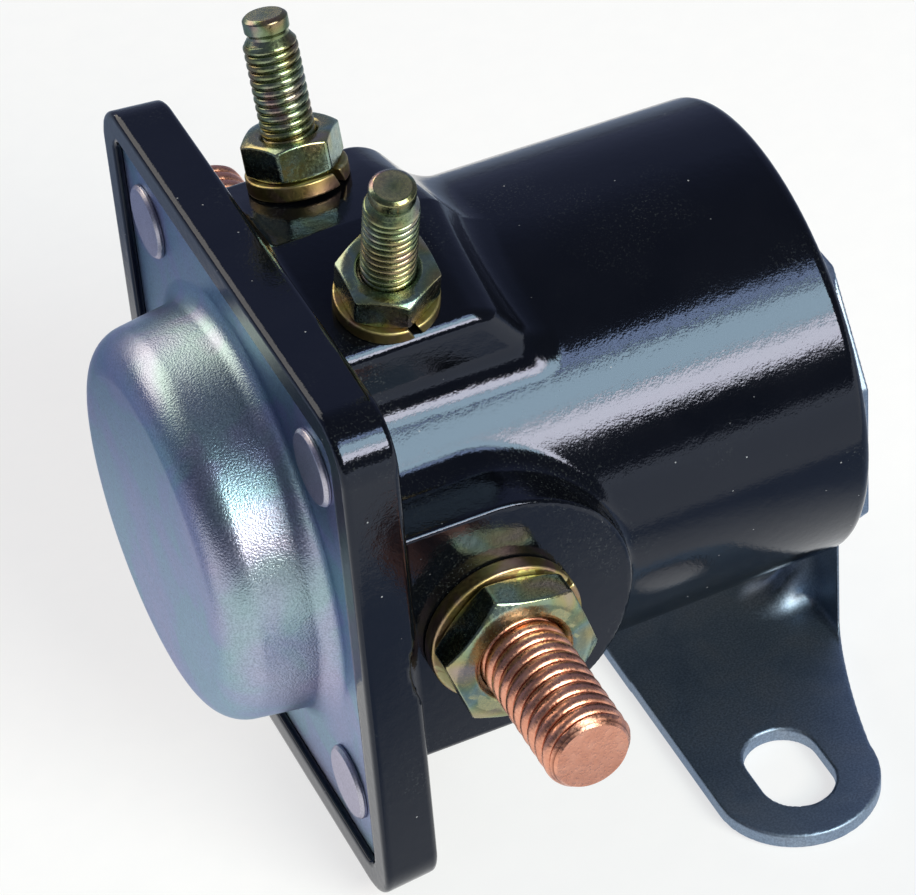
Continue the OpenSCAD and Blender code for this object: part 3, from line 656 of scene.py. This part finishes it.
# %% Housing
BARREL_R, BARREL_L, BARREL_EDGE = 22.8, 51.8, 1.2
DRAFT = 0.8 / (BARREL_L - BARREL_EDGE)
FLANGE_Y, FLANGE_Z, FLANGE_T, FLANGE_CORNER = 27.4, 27.9, 5.2, 5.0
FLANGE_DRAFT, FLANGE_EDGE, FLANGE_FILLET = 0.3 / FLANGE_T, 0.5, 0.7
RIM, RECESS_DEPTH, BODY_FROM = 2.9, 2.5, 1.0
PAD_FACE, PAD_R, PAD_EDGE, PAD_FILLET = 24.8, 12.9, 0.45, 1.4
SPOT_R, SPOT_CLEAR = 9.3, 0.3
ROOF_HALF, ROOF_CREST, ROOF_END, ROOF_FALL = 13.8, 27.33, 19.7, math.radians(38.0)
CREST_EDGE, SIDE_EDGE, BACK_EDGE, ROOF_FILLET = 2.0, 1.2, 1.6, 1.6
SMALL_X, SMALL_Y, SMALL_Z, TILT = 11.9, 9.45, 25.43, math.radians(15.5)
CAVITY_R, CAVITY_END = 20.0, 49.8
INNER_SEAT, SEAT_FRONT, SEAT_BACK, SEAT_HALF = 19.2, 7.0, 20.1, 6.5
RIVET_REACH, RIVET_HOLE = 18.785, 1.95
STUD_HOLE, SMALL_HOLE, END_HOLE, END_HOLE_FROM = 4.02, 2.465, 3.05, 40
POCKET_R, POCKET_TOP, POCKET_L = 5.2, -5.5, 12.0
PIP_Y, PIP_R, PIP_END, PIP_EDGE = 9.0, 1.5, 53.4, 0.2
CUT_EDGE, HOLE_EDGE = 0.3, 0.15
HOUSING_STEP, HOUSING_KEPT = 0.38, 0.45


def terminal_frame(side_y, z):
    """Height above a small terminal's seat, and distance across from its axis."""
    y, z = side_y - SMALL_Y, z - SMALL_Z
    return y * math.sin(TILT) + z * math.cos(TILT), y * math.cos(TILT) - z * math.sin(TILT)


def roof_field(x, side_y, z):
    """Roof of one half, whose face is square to its small terminal."""
    up, _ = terminal_frame(side_y, z)
    behind = (x - ROOF_END) * math.cos(ROOF_FALL) + up * math.sin(ROOF_FALL)
    roof = share(share(up, z - ROOF_CREST, CREST_EDGE), side_y - ROOF_HALF, SIDE_EDGE)
    return share(np.maximum(roof, -z), behind, BACK_EDGE)


def outer_field(x, y, z):
    """The housing without its holes."""
    side_y = abs(y)
    barrel = share(np.hypot(y, z) - BARREL_R + DRAFT * x, x - BARREL_L, BARREL_EDGE)
    pad = np.where(x < STUD_X, abs(z), np.hypot(x - STUD_X, z)) - PAD_R
    body = join(barrel, share(pad, side_y - PAD_FACE, PAD_EDGE), PAD_FILLET)
    body = np.maximum(join(body, roof_field(x, side_y, z), ROOF_FILLET), -x)
    flange = oblong(y, z, FLANGE_Y - FLANGE_DRAFT * x, FLANGE_Z - FLANGE_DRAFT * x, FLANGE_CORNER)
    flange = share(flange, slab(x, 0, FLANGE_T), FLANGE_EDGE)
    return join(flange, np.maximum(body, BODY_FROM - x), FLANGE_FILLET)


def housing_field(x, y, z):
    """The housing: what is cut from it, and its two pips."""
    side_y, side_z, about = abs(y), abs(z), np.hypot(y, z)
    from_stud = np.hypot(x - STUD_X, z)
    spot = np.maximum(from_stud - SPOT_R, PAD_FACE + SPOT_CLEAR - side_y)
    recess = oblong(y, z, FLANGE_Y - RIM, FLANGE_Z - RIM, FLANGE_CORNER - RIM)
    body = cut(outer_field(x, y, z), spot, CUT_EDGE)
    body = cut(body, np.maximum(recess, x - RECESS_DEPTH), CUT_EDGE)
    seat = np.maximum(slab(x, SEAT_FRONT, SEAT_BACK), side_z - SEAT_HALF)
    seat = np.maximum(seat, INNER_SEAT - side_y)
    hollow = np.maximum(np.maximum(about - CAVITY_R, x - CAVITY_END), -seat)
    holes = np.hypot(side_y - RIVET_REACH, side_z - RIVET_REACH) - RIVET_HOLE
    end_hole = np.maximum(about - END_HOLE, END_HOLE_FROM - x)
    holes = np.minimum(np.maximum(holes, x - FLANGE_T - 1), end_hole)
    bore = np.maximum(from_stud - STUD_HOLE, CAVITY_R - 2 - side_y)
    up, across = terminal_frame(side_y, z)
    small = np.hypot(x - SMALL_X, across)
    pocket = np.maximum(small - POCKET_R, slab(up, POCKET_TOP - POCKET_L, POCKET_TOP))
    small_bore = np.maximum(small - SMALL_HOLE, POCKET_TOP - 1 - up)
    for tool in (hollow, holes, bore, pocket, small_bore):
        body = cut(body, tool, HOLE_EDGE)
    pip = np.hypot(side_y - PIP_Y, z) - PIP_R
    return np.minimum(body, share(pip, slab(x, BARREL_L - 1, PIP_END), PIP_EDGE))


housing = skin("moulded_housing", housing_field, (0, -FLANGE_Y, -FLANGE_Z),
               (PIP_END, FLANGE_Y, FLANGE_Z), HOUSING_STEP, HOUSING_KEPT)
add_piece(housing, "relay_body", "housing", phenolic)

# %% [markdown]
# ## The cover
#
# The cover is drawn from sheet: a flat plate in the recess of the flange, and a dome
# that rises from it through a soft foot and turns over into a flat face. In the plate
# the dome's rows of points widen until the last ones follow the plate's edge.

# %% Cover
SHEET, COVER_FRONT, FOLD = 1.0, 0.7, 0.25
COVER_Y, COVER_Z, COVER_CORNER = 24.35, 24.85, 1.95
DOME_R, DOME_TOP_R, DOME_H, DOME_EDGE, DOME_FOOT = 19.0, 18.47, 8.8, 3.8, 2.0
DOME_CONE = math.radians(6)
COVER_SEGMENTS, ARC_STEPS = 360, 14


def plate_edge(angle):
    """Distance from the middle to the edge of the plate, in each direction."""
    y, z = abs(np.cos(angle)), abs(np.sin(angle))
    straight = np.minimum(COVER_Y / np.maximum(y, 1e-9), COVER_Z / np.maximum(z, 1e-9))
    corner_y, corner_z = COVER_Y - COVER_CORNER, COVER_Z - COVER_CORNER
    along = y * corner_y + z * corner_z
    inside = along ** 2 - corner_y ** 2 - corner_z ** 2 + COVER_CORNER ** 2
    in_corner = (straight * y > corner_y) & (straight * z > corner_z)
    return np.where(in_corner, along + np.sqrt(np.maximum(inside, 0)), straight)


def dome_rows(inset):
    """Rows of the dome's skin from the axis to the plate: radius, x, normal."""
    flat = math.pi / 2
    arcs = ((DOME_TOP_R - DOME_EDGE, DOME_EDGE - DOME_H, DOME_EDGE - inset, flat, DOME_CONE),
            (DOME_R + DOME_FOOT, COVER_FRONT - DOME_FOOT, -DOME_FOOT - inset, DOME_CONE, flat))
    rows = [(0.0, inset - DOME_H, 0.0, -1.0)]
    for middle_r, middle_x, radius, start, end in arcs:
        for i in range(ARC_STEPS + 1):
            a = start + (end - start) * i / ARC_STEPS
            c, s = math.cos(a), math.sin(a)
            rows.append((middle_r + radius * c, middle_x - radius * s, c, -s))
    return rows


angle = np.linspace(0, 2 * math.pi, COVER_SEGMENTS, endpoint=False)
rim, back_x = plate_edge(angle), COVER_FRONT + SHEET
plate_rows = [(rim - FOLD, COVER_FRONT, 0, -1),
              (rim - 0.3 * FOLD, COVER_FRONT + 0.3 * FOLD, 0.71, -0.71),
              (rim, COVER_FRONT + FOLD, 1, 0), (rim, back_x - FOLD, 1, 0),
              (rim - FOLD, back_x, 0, 1)]
back_rows = [(r, x, -a, -b) for r, x, a, b in reversed(dome_rows(SHEET))]
rows = dome_rows(0) + plate_rows + back_rows
points, normals = [
    np.concatenate([np.column_stack([np.full(angle.shape, x), r * np.cos(angle), r * np.sin(angle)])
                    for r, x in pairs])
    for pairs in ([row[:2] for row in rows], [row[2:] for row in rows])]
faces = ring_faces(len(rows), COVER_SEGMENTS)
add_piece(mesh_from("pressed_cover", points, faces, normals),
          "relay_body", "cover", cover_zinc)
print("cover", len(faces), "faces")

# %% [markdown]
# The four rivets have flat heads with a small rounded edge, and spread tails behind
# the flange. They are turned pieces, laid along x.

# %% Rivets
RIVET_R, RIVET_HEAD_R, RIVET_FRONT = 1.9, 3.5, COVER_FRONT - 0.6
RIVET_TAIL_R, RIVET_EDGE, RIVET_END = 2.9, 0.3, FLANGE_T + 0.9
RIVET_ROUND, RIVET_SEGMENTS = 0.22, 64
rivet_outline = [(0, RIVET_FRONT), (RIVET_HEAD_R - RIVET_EDGE, RIVET_FRONT),
                 (RIVET_HEAD_R, RIVET_FRONT + RIVET_EDGE), (RIVET_HEAD_R, COVER_FRONT),
                 (RIVET_R, COVER_FRONT), (RIVET_R, FLANGE_T),
                 (RIVET_TAIL_R, FLANGE_T), (RIVET_TAIL_R, RIVET_END), (0, RIVET_END)]
along_x = [2, 0, 1]
points, faces, normals = turned(rivet_outline, RIVET_ROUND, RIVET_SEGMENTS)
points, faces, normals = gathered([
    (points[:, along_x] + (0, y, z), faces, normals[:, along_x])
    for y in (-RIVET_REACH, RIVET_REACH) for z in (-RIVET_REACH, RIVET_REACH)])
add_piece(mesh_from("cover_rivet_set", points, faces, normals),
          "relay_body", "cover_rivets", rivet_zinc)
print("rivets", len(faces), "faces")

# %% [markdown]
# ## Terminals
#
# A thread is one ridge wound up a rod, so its rows of points follow the helix: a row
# climbs by one pitch in a turn and meets the row above it. Rows are held at the rod's
# ends, where points that fall together are merged. Crests are broad and round and
# roots narrow, as in threads rolled in soft metal.

# %% Thread
ROOT_SHARE, CREST_POWER, SHARP_ANGLE = 0.06, 2.2, math.radians(48)
ROW_PHASES = (0.0, 0.03, 0.045, 0.07, 0.12, 0.2, 0.32, 0.5, 0.68, 0.8, 0.88, 0.93, 0.955, 0.97)


def thread_radius(phase, crest, root):
    """Radius where phase is 0 at the root's middle and 0.5 at the crest's."""
    height = 2 * abs(phase - np.round(phase))
    t = np.clip((height - ROOT_SHARE) / (1 - ROOT_SHARE), 0, 1)
    return root + (crest - root) * (1 - (1 - t) ** CREST_POWER) ** (1 / CREST_POWER)


def thread(pitch, crest, root, start, end, tip, chamfer, segments=72):
    """Points, faces and no normals of a threaded rod along z."""
    turns = range(-1, int((end - start) / pitch) + 2)
    steps = [start + pitch * (turn + phase) for turn in turns for phase in ROW_PHASES]
    share_of_turn = np.arange(segments) / segments
    per_turn = len(ROW_PHASES)
    points = []
    for step in steps:
        z = np.clip(step + pitch * share_of_turn, start, end)
        r = thread_radius((z - start) / pitch - share_of_turn, crest, root)
        r = np.minimum(r, tip + (crest - tip) / chamfer * (end - z))
        a = 2 * math.pi * share_of_turn
        points.append(np.column_stack([r * np.cos(a), r * np.sin(a), z]))
    faces = []
    for i in range(len(steps) - per_turn - 1):
        for j in range(segments - 1):
            a, b = i * segments + j, (i + 1) * segments + j
            faces.append((a, a + 1, b + 1, b))
        a, b = (i + 1) * segments - 1, (i + 2) * segments - 1
        faces.append((a, (i + per_turn) * segments, (i + 1 + per_turn) * segments, b))
    return np.concatenate(points), faces


def merged(mesh, distance=1e-6):
    """Merges points that fall together and closes open ends."""
    work = bmesh.new()
    work.from_mesh(mesh)
    bmesh.ops.remove_doubles(work, verts=work.verts, dist=distance)
    bmesh.ops.dissolve_degenerate(work, edges=work.edges, dist=distance)
    loose = [v for v in work.verts if not v.link_faces]
    bmesh.ops.delete(work, geom=loose, context="VERTS")
    bmesh.ops.holes_fill(work, edges=[e for e in work.edges if e.is_boundary], sides=0)
    bmesh.ops.recalc_face_normals(work, faces=work.faces)
    work.to_mesh(mesh)
    work.free()
    return mesh


def add_part(mesh, points, faces):
    """Adds points and faces to a mesh, as a part of their own."""
    more = mesh_from("part", points, faces)
    work = bmesh.new()
    work.from_mesh(mesh)
    work.from_mesh(more)
    work.to_mesh(mesh)
    work.free()
    bpy.data.meshes.remove(more)


def sharpen(mesh):
    """Smooth shading, but for edges sharper than a thread's crest."""
    mesh.shade_smooth()
    mesh.set_sharp_from_angle(angle=SHARP_ANGLE)


# %% [markdown]
# Each terminal has a frame of its own, with z running outwards. One function turns
# points from there to the barrel's frame; side is -1 for the near half and 1 for the
# far one. Battery and start terminals are near, motor and ignition ones far.

# %% Frames of the terminals
def heavy(side):
    """Turns points from a heavy terminal's frame, z from the middle plane, to the barrel's."""
    turn = np.array([[1, 0, 0], [0, 0, side], [0, -side, 0]])
    return lambda points: points @ turn.T + (STUD_X, 0, 0)


def small(side):
    """Turns points from a small terminal's frame, z from its seat on the roof."""
    c, s = math.cos(TILT), math.sin(TILT)
    turn = np.array([[1, 0, 0], [0, c, side * s], [0, -side * s, c]])
    return lambda points: points @ turn.T + (SMALL_X, side * SMALL_Y, SMALL_Z)


# %% Heavy terminals
STUD_R, STUD_ROOT, STUD_PITCH = 3.97, 3.42, 25.4 / 18
STUD_TIP_R, STUD_CHAMFER, STUD_END = 3.29, 0.85, 43.15
HEAD_Z, HEAD_INNER, HEAD_EDGE = 5.0, 8.0, 0.4
HEAD_X = (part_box("battery_stud")[1][0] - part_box("battery_stud")[0][0]) / MM / 2


def stud_head():
    """The square contact head inside the housing, with filed edges."""
    work = bmesh.new()
    bmesh.ops.create_cube(work, size=1.0)
    middle, long = (HEAD_INNER + INNER_SEAT) / 2, INNER_SEAT - HEAD_INNER
    for v in work.verts:
        v.co = (v.co.x * 2 * HEAD_X, v.co.y * 2 * HEAD_Z, v.co.z * long + middle)
    bmesh.ops.bevel(work, geom=work.edges[:], offset=HEAD_EDGE, segments=2, affect="EDGES")
    points = np.array([v.co[:] for v in work.verts])
    faces = [[v.index for v in f.verts] for f in work.faces]
    work.free()
    return points, faces


for name, side in (("battery", -1), ("motor", 1)):
    points, faces = thread(STUD_PITCH, STUD_R, STUD_ROOT, INNER_SEAT, STUD_END, STUD_TIP_R,
                           STUD_CHAMFER)
    rod = merged(mesh_from(name + "_copper_terminal", heavy(side)(points), faces))
    points, faces = stud_head()
    add_part(rod, heavy(side)(points), faces)
    sharpen(rod)
    add_piece(rod, "relay_body", name + "_stud", copper)
    print(name, "terminal", len(rod.polygons), "faces")

# %% [markdown]
# The small terminals are steel with a head under the roof. Above the thread a groove
# and a plain tip guide a nut on. Head and tip are turned, and the thread is wound.

# %% Small terminals
SMALL_R, SMALL_ROOT, SMALL_PITCH, SMALL_CHAMFER = 2.415, 2.12, 25.4 / 32, 0.8
SMALL_START, SMALL_THREAD_END, SMALL_END = -2.0, 14.0, 15.9
GROOVE_R, GROOVE_L, TIP_R = 1.84, 0.5, 2.015
SMALL_HEAD_R, SMALL_HEAD_Z, SMALL_HEAD_T = 3.6, -6.1, 2.0
SMALL_ROUND, SMALL_SEGMENTS = 0.25, 56
shank = [(0, SMALL_HEAD_Z - SMALL_HEAD_T), (SMALL_HEAD_R, SMALL_HEAD_Z - SMALL_HEAD_T),
         (SMALL_HEAD_R, SMALL_HEAD_Z), (SMALL_R, SMALL_HEAD_Z), (SMALL_R, SMALL_START),
         (0, SMALL_START)]
tip = [(0, SMALL_THREAD_END - GROOVE_L), (GROOVE_R, SMALL_THREAD_END - GROOVE_L),
       (GROOVE_R, SMALL_THREAD_END + 0.5 * GROOVE_L), (TIP_R, SMALL_THREAD_END + 1.1 * GROOVE_L),
       (TIP_R, SMALL_END - 0.3), (TIP_R - 0.35, SMALL_END), (0, SMALL_END - 0.06)]
ends, end_faces, _ = gathered([turned(outline, SMALL_ROUND, SMALL_SEGMENTS)
                               for outline in (shank, tip)])

for name, side in (("start", -1), ("ignition", 1)):
    points, faces = thread(SMALL_PITCH, SMALL_R, SMALL_ROOT, SMALL_START, SMALL_THREAD_END,
                           GROOVE_R, SMALL_CHAMFER, SMALL_SEGMENTS)
    rod = merged(mesh_from(name + "_terminal", small(side)(points), faces))
    sharpen(rod)
    add_part(rod, small(side)(ends), end_faces)
    add_piece(rod, "relay_body", name + "_stud", stud_chromate)
    print(name, "terminal", len(rod.polygons), "faces")

# %% [markdown]
# ## Nuts and washers
#
# A hexagon nut is a six-sided bar with slanted corners and a countersunk bore. A
# split washer is a ring of rectangular wire with a slanted cut. Both have worn
# edges, so they are fields again, on a finer net.

# %% Shapes of nuts and washers
FACE_SHARE, CHAMFER_SHARE, SINK_SHARE = 0.96, 0.5, 0.14
SPLIT_SLANT = math.radians(25)
WASHER_GAP, NUT_GAP = 0.2, 0.05


def nut_field(flats, height, bore, angle, edge):
    """Hexagon nut from z = 0, chamfered on both sides."""
    def field(x, y, z):
        around = [x * math.cos(math.radians(angle + 30 + 60 * i))
                  + y * math.sin(math.radians(angle + 30 + 60 * i)) for i in range(6)]
        bar = around[0] - flats / 2
        for flat in around[1:]:
            bar = share(bar, flat - flats / 2, edge)
        r = np.hypot(x, y)
        face_r = FACE_SHARE * flats / 2
        outer = (CHAMFER_SHARE * (r - face_r) + z - height) / math.hypot(CHAMFER_SHARE, 1)
        inner = (CHAMFER_SHARE * (r - face_r) - z) / math.hypot(CHAMFER_SHARE, 1)
        bar = share(share(bar, outer, 0.6 * edge), inner, 0.6 * edge)
        nut = share(bar, slab(z, 0, height), 0.6 * edge)
        sink = (r - bore - (z - height + SINK_SHARE * bore)) / math.sqrt(2)
        return cut(nut, np.minimum(r - bore, sink), 0.5 * edge)
    return field


def washer_field(outer, bore, height, angle, edge):
    """Split lock washer from z = 0."""
    a = math.radians(angle)

    def field(x, y, z):
        r = np.hypot(x, y)
        ring = share(share(r - outer, slab(z, 0, height), edge), bore - r, edge)
        ahead, across = x * math.cos(a) + y * math.sin(a), y * math.cos(a) - x * math.sin(a)
        slant = across * math.cos(SPLIT_SLANT) + (z - height / 2) * math.sin(SPLIT_SLANT)
        return cut(ring, np.maximum(abs(slant) - height / 4, -ahead), 0.5 * edge)
    return field


# %% Nuts and washers on their terminals
EDGE_STEPS, SOLID_KEPT = 1.6, 0.5
# Bore, width over the flats, height, washer's radius and thickness, step of the net
HEAVY_SIZES = (STUD_R, 12.7, 3.6, 7.15, 1.65, 0.17)
SMALL_SIZES = (SMALL_R, 7.94, 3.4, 4.6, 1.5, 0.13)
# Name, frame, seat, turn of the nut, turn of the washer's split, sizes
fittings = (("battery", heavy(-1), PAD_FACE, -13, 30, HEAVY_SIZES),
            ("motor", heavy(1), PAD_FACE, 13, -30, HEAVY_SIZES),
            ("start", small(-1), 0.0, 30, -80, SMALL_SIZES),
            ("ignition", small(1), 0.0, -5, -55, SMALL_SIZES))


def raised(to_barrel, height):
    """Turns points to the barrel's frame from so high in a terminal's."""
    return lambda points: to_barrel(points + (0, 0, height))


for name, to_barrel, seat, nut_turn, split_turn, sizes in fittings:
    stud_r, flats, nut_h, washer_r, washer_t, step = sizes
    out, edge = flats / math.sqrt(3), EDGE_STEPS * step
    nut = nut_field(flats, nut_h, stud_r + NUT_GAP, nut_turn, edge)
    mesh = skin(name + "_hex_nut", nut, (-out, -out, 0), (out, out, nut_h), step, SOLID_KEPT,
                raised(to_barrel, seat + washer_t))
    add_piece(mesh, name + "_nut_turn", name + "_nut", nut_chromate)
    washer = washer_field(washer_r, stud_r + WASHER_GAP, washer_t, split_turn, edge)
    mesh = skin(name + "_split_washer", washer, (-washer_r, -washer_r, 0),
                (washer_r, washer_r, washer_t), step, SOLID_KEPT, raised(to_barrel, seat))
    add_piece(mesh, name + "_washer_lift", name + "_washer", washer_chromate)

# %% [markdown]
# ## The bracket
#
# The bracket was punched from sheet and bent once, with two gussets pressed into the
# bend. As a field it is a bent strip that shares its space with two flat outlines,
# of the upright plate and of the base with its ears, and keeps to its outer face.

# %% Bracket
PLATE_T, PLATE_X, BEND_R, PLATE_EDGE = 1.6, 53.4, 1.0, 0.28
NECK, EAR_Y, EAR_R, FLARE_R = 11.8, 29.475, 7.9, 80.0
SLOT_Y, SLOT_W, SLOT_L, SLOT_EDGE = 28.575, 7.0, 10.0, 0.25
GUSSET_Y, GUSSET_HALF, GUSSET_LEG = 8.0, 1.7, 4.5
GUSSET_EDGE, GUSSET_FILLET, PIP_GAP, PUNCH_EDGE = 1.2, 1.8, 0.05, 0.1
BRACKET_STEP, BRACKET_KEPT = 0.3, 0.4
BASE_TOP = PLATE_T - AXIS_Z
BEND_X, BEND_Z = PLATE_X - PLATE_T - BEND_R, BASE_TOP + BEND_R
END_R = 22.0
END_TOP = 0.66 * END_R
PAST_MIDDLE, PAST_BASE = -5, -40
UPRIGHT = [(PAST_MIDDLE, PAST_BASE), (NECK, PAST_BASE), (NECK, -0.791 * END_R),
           (0.682 * END_R, -0.636 * END_R), (0.83 * END_R, -0.45 * END_R),
           (0.83 * END_R, 0.22 * END_R), (0.54 * END_R, END_TOP), (PAST_MIDDLE, END_TOP)]


def polygon_field(u, v, corners):
    """Distance to a polygon, whose corners run against the clock."""
    nearest, inside = np.inf, False
    for (au, av), (bu, bv) in zip(corners, corners[1:] + corners[:1]):
        eu, ev = bu - au, bv - av
        along = np.clip(((u - au) * eu + (v - av) * ev) / (eu * eu + ev * ev), 0, 1)
        nearest = np.minimum(nearest, np.hypot(u - au - along * eu, v - av - along * ev))
        spans = (av <= v) != (bv <= v)
        left = u < au + (v - av) * eu / (ev if ev else 1e-9)
        inside = inside ^ (spans & left)
    return np.where(inside, -nearest, nearest)


def base_field(x, side_y):
    """The base from above: a neck that flares in a hollow curve into a round ear."""
    ear_front, ear_back = SLOT_X - EAR_R, SLOT_X + EAR_R
    chord = np.array([PLATE_X - ear_back, NECK - EAR_Y])
    length = np.linalg.norm(chord)
    reach = math.sqrt(FLARE_R ** 2 - length ** 2 / 4)
    middle = np.array([ear_back + PLATE_X, EAR_Y + NECK]) / 2
    centre = middle + reach * np.array([-chord[1], chord[0]]) / length
    web = polygon_field(x, side_y, [(ear_front, PAST_MIDDLE), (PLATE_X, PAST_MIDDLE),
                                    (PLATE_X, NECK), (ear_back, EAR_Y), (ear_front, EAR_Y)])
    web = np.maximum(web, FLARE_R - np.hypot(x - centre[0], side_y - centre[1]))
    return np.minimum(web, np.hypot(x - SLOT_X, side_y - EAR_Y) - EAR_R)


def strip_field(x, z):
    """Side view of the bent sheet: its distance from a line down, round and forward."""
    mid = PLATE_T / 2
    upright, base = abs(x - PLATE_X + mid), abs(z - BASE_TOP + mid)
    bend = abs(np.hypot(x - BEND_X, z - BEND_Z) - (BEND_R + mid))
    flat = np.where(x > BEND_X, np.where(z > BEND_Z, upright, bend),
                    np.where(z > BEND_Z, np.minimum(upright, base), base))
    return flat - mid


def bracket_field(x, y, z):
    """The bent sheet in its outlines, with gussets, slots and holes."""
    side_y = abs(y)
    ears = np.maximum(base_field(x, side_y), z - END_TOP)
    outline = np.minimum(polygon_field(side_y, z, UPRIGHT), ears)
    sheet = share(strip_field(x, z), SLOT_X - EAR_R - x, PLATE_EDGE)
    bracket = share(sheet, outline, PLATE_EDGE)
    gusset = ((PLATE_X - PLATE_T - x) + (z - BASE_TOP) - GUSSET_LEG) / math.sqrt(2)
    gusset = np.maximum(np.maximum(gusset, x - PLATE_X + PLATE_T / 2), BASE_TOP - PLATE_T / 2 - z)
    gusset = share(gusset, abs(side_y - GUSSET_Y) - GUSSET_HALF, GUSSET_EDGE)
    back = np.where((x > BEND_X) & (z < BEND_Z),
                    np.hypot(x - BEND_X, z - BEND_Z) - BEND_R - PLATE_T,
                    np.maximum(x - PLATE_X, -AXIS_Z - z))
    bracket = np.maximum(join(bracket, gusset, GUSSET_FILLET), back)
    slot = oblong(x - SLOT_X, side_y - SLOT_Y, SLOT_W / 2, SLOT_L / 2, SLOT_W / 2)
    bracket = cut(bracket, np.maximum(slot, z - BASE_TOP - 1), SLOT_EDGE)
    pip_holes = np.hypot(side_y - PIP_Y, z) - PIP_R - PIP_GAP
    holes = np.minimum(np.hypot(y, z) - END_HOLE, pip_holes)
    return cut(bracket, np.maximum(holes, PLATE_X - PLATE_T - 1 - x), PUNCH_EDGE)


bracket = skin("mounting_bracket", bracket_field, (SLOT_X - EAR_R, -EAR_Y - EAR_R, -AXIS_Z),
               (PLATE_X, EAR_Y + EAR_R, END_TOP), BRACKET_STEP, BRACKET_KEPT)
add_piece(bracket, "relay_body", "bracket", bracket_zinc)

# %% [markdown]
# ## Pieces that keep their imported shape
#
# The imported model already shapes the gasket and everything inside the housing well,
# so these pieces only get their finish.

# %% Plain finishes
def plain(name, low, high, grain, roughness, height, **settings):
    """A finish of two tones that drift over a grain size in mm, with a fine bump."""
    finish, shader, mm = new_finish(name, **settings)
    drift = noise(mm, grain, 4.0)
    coat(shader, ramp(drift, [(0.3, low), (0.7, high)]),
         span(drift, 0, 1, roughness - 0.08, roughness + 0.08), bump(drift, height))
    return finish


finishes = {
    "gasket_paper": plain("oiled_gasket_paper", "#2E2620", "#463A2E", 0.6, 0.8, 3e-5),
    "soft_iron": plain("turned_soft_iron", "#8A8C92", "#A3A5AA", 0.5, 0.35, 1e-5, Metallic=1.0),
    "fibre_board": plain("vulcanised_fibre", "#5A2E22", "#774032", 0.9, 0.6, 2e-5),
    "bobbin_nylon": plain("natural_nylon", "#CFCBBB", "#DEDBCD", 2.0, 0.45, 1e-5, IOR=1.53),
    "magnet_wire": plain("enamelled_copper_wire", "#8A3A14", "#B2561F", 0.35, 0.3, 4e-5,
                         Metallic=0.6),
    "copper_stud": plain("lapped_copper", "#C98A72", "#DDA088", 0.7, 0.28, 1e-5, Metallic=1.0),
    "brass_parts": plain("drawn_brass", "#B5903F", "#C9A552", 1.2, 0.3, 1e-5, Metallic=1.0),
    "bright_steel": plain("bright_steel", "#A9ABB0", "#BFC1C6", 0.8, 0.25, 1e-5, Metallic=1.0)}

# %% Finish the nodes that stay
slots = {part["node"]: part["material_slot"] for part in frame["record"]["subparts"]}
for node, slot in slots.items():
    if node not in made:
        holder = frame["nodes"][node]
        holder.data.materials.clear()
        holder.data.materials.append(finishes[slot])
print("finished", len(slots) - len(made), "packed nodes")
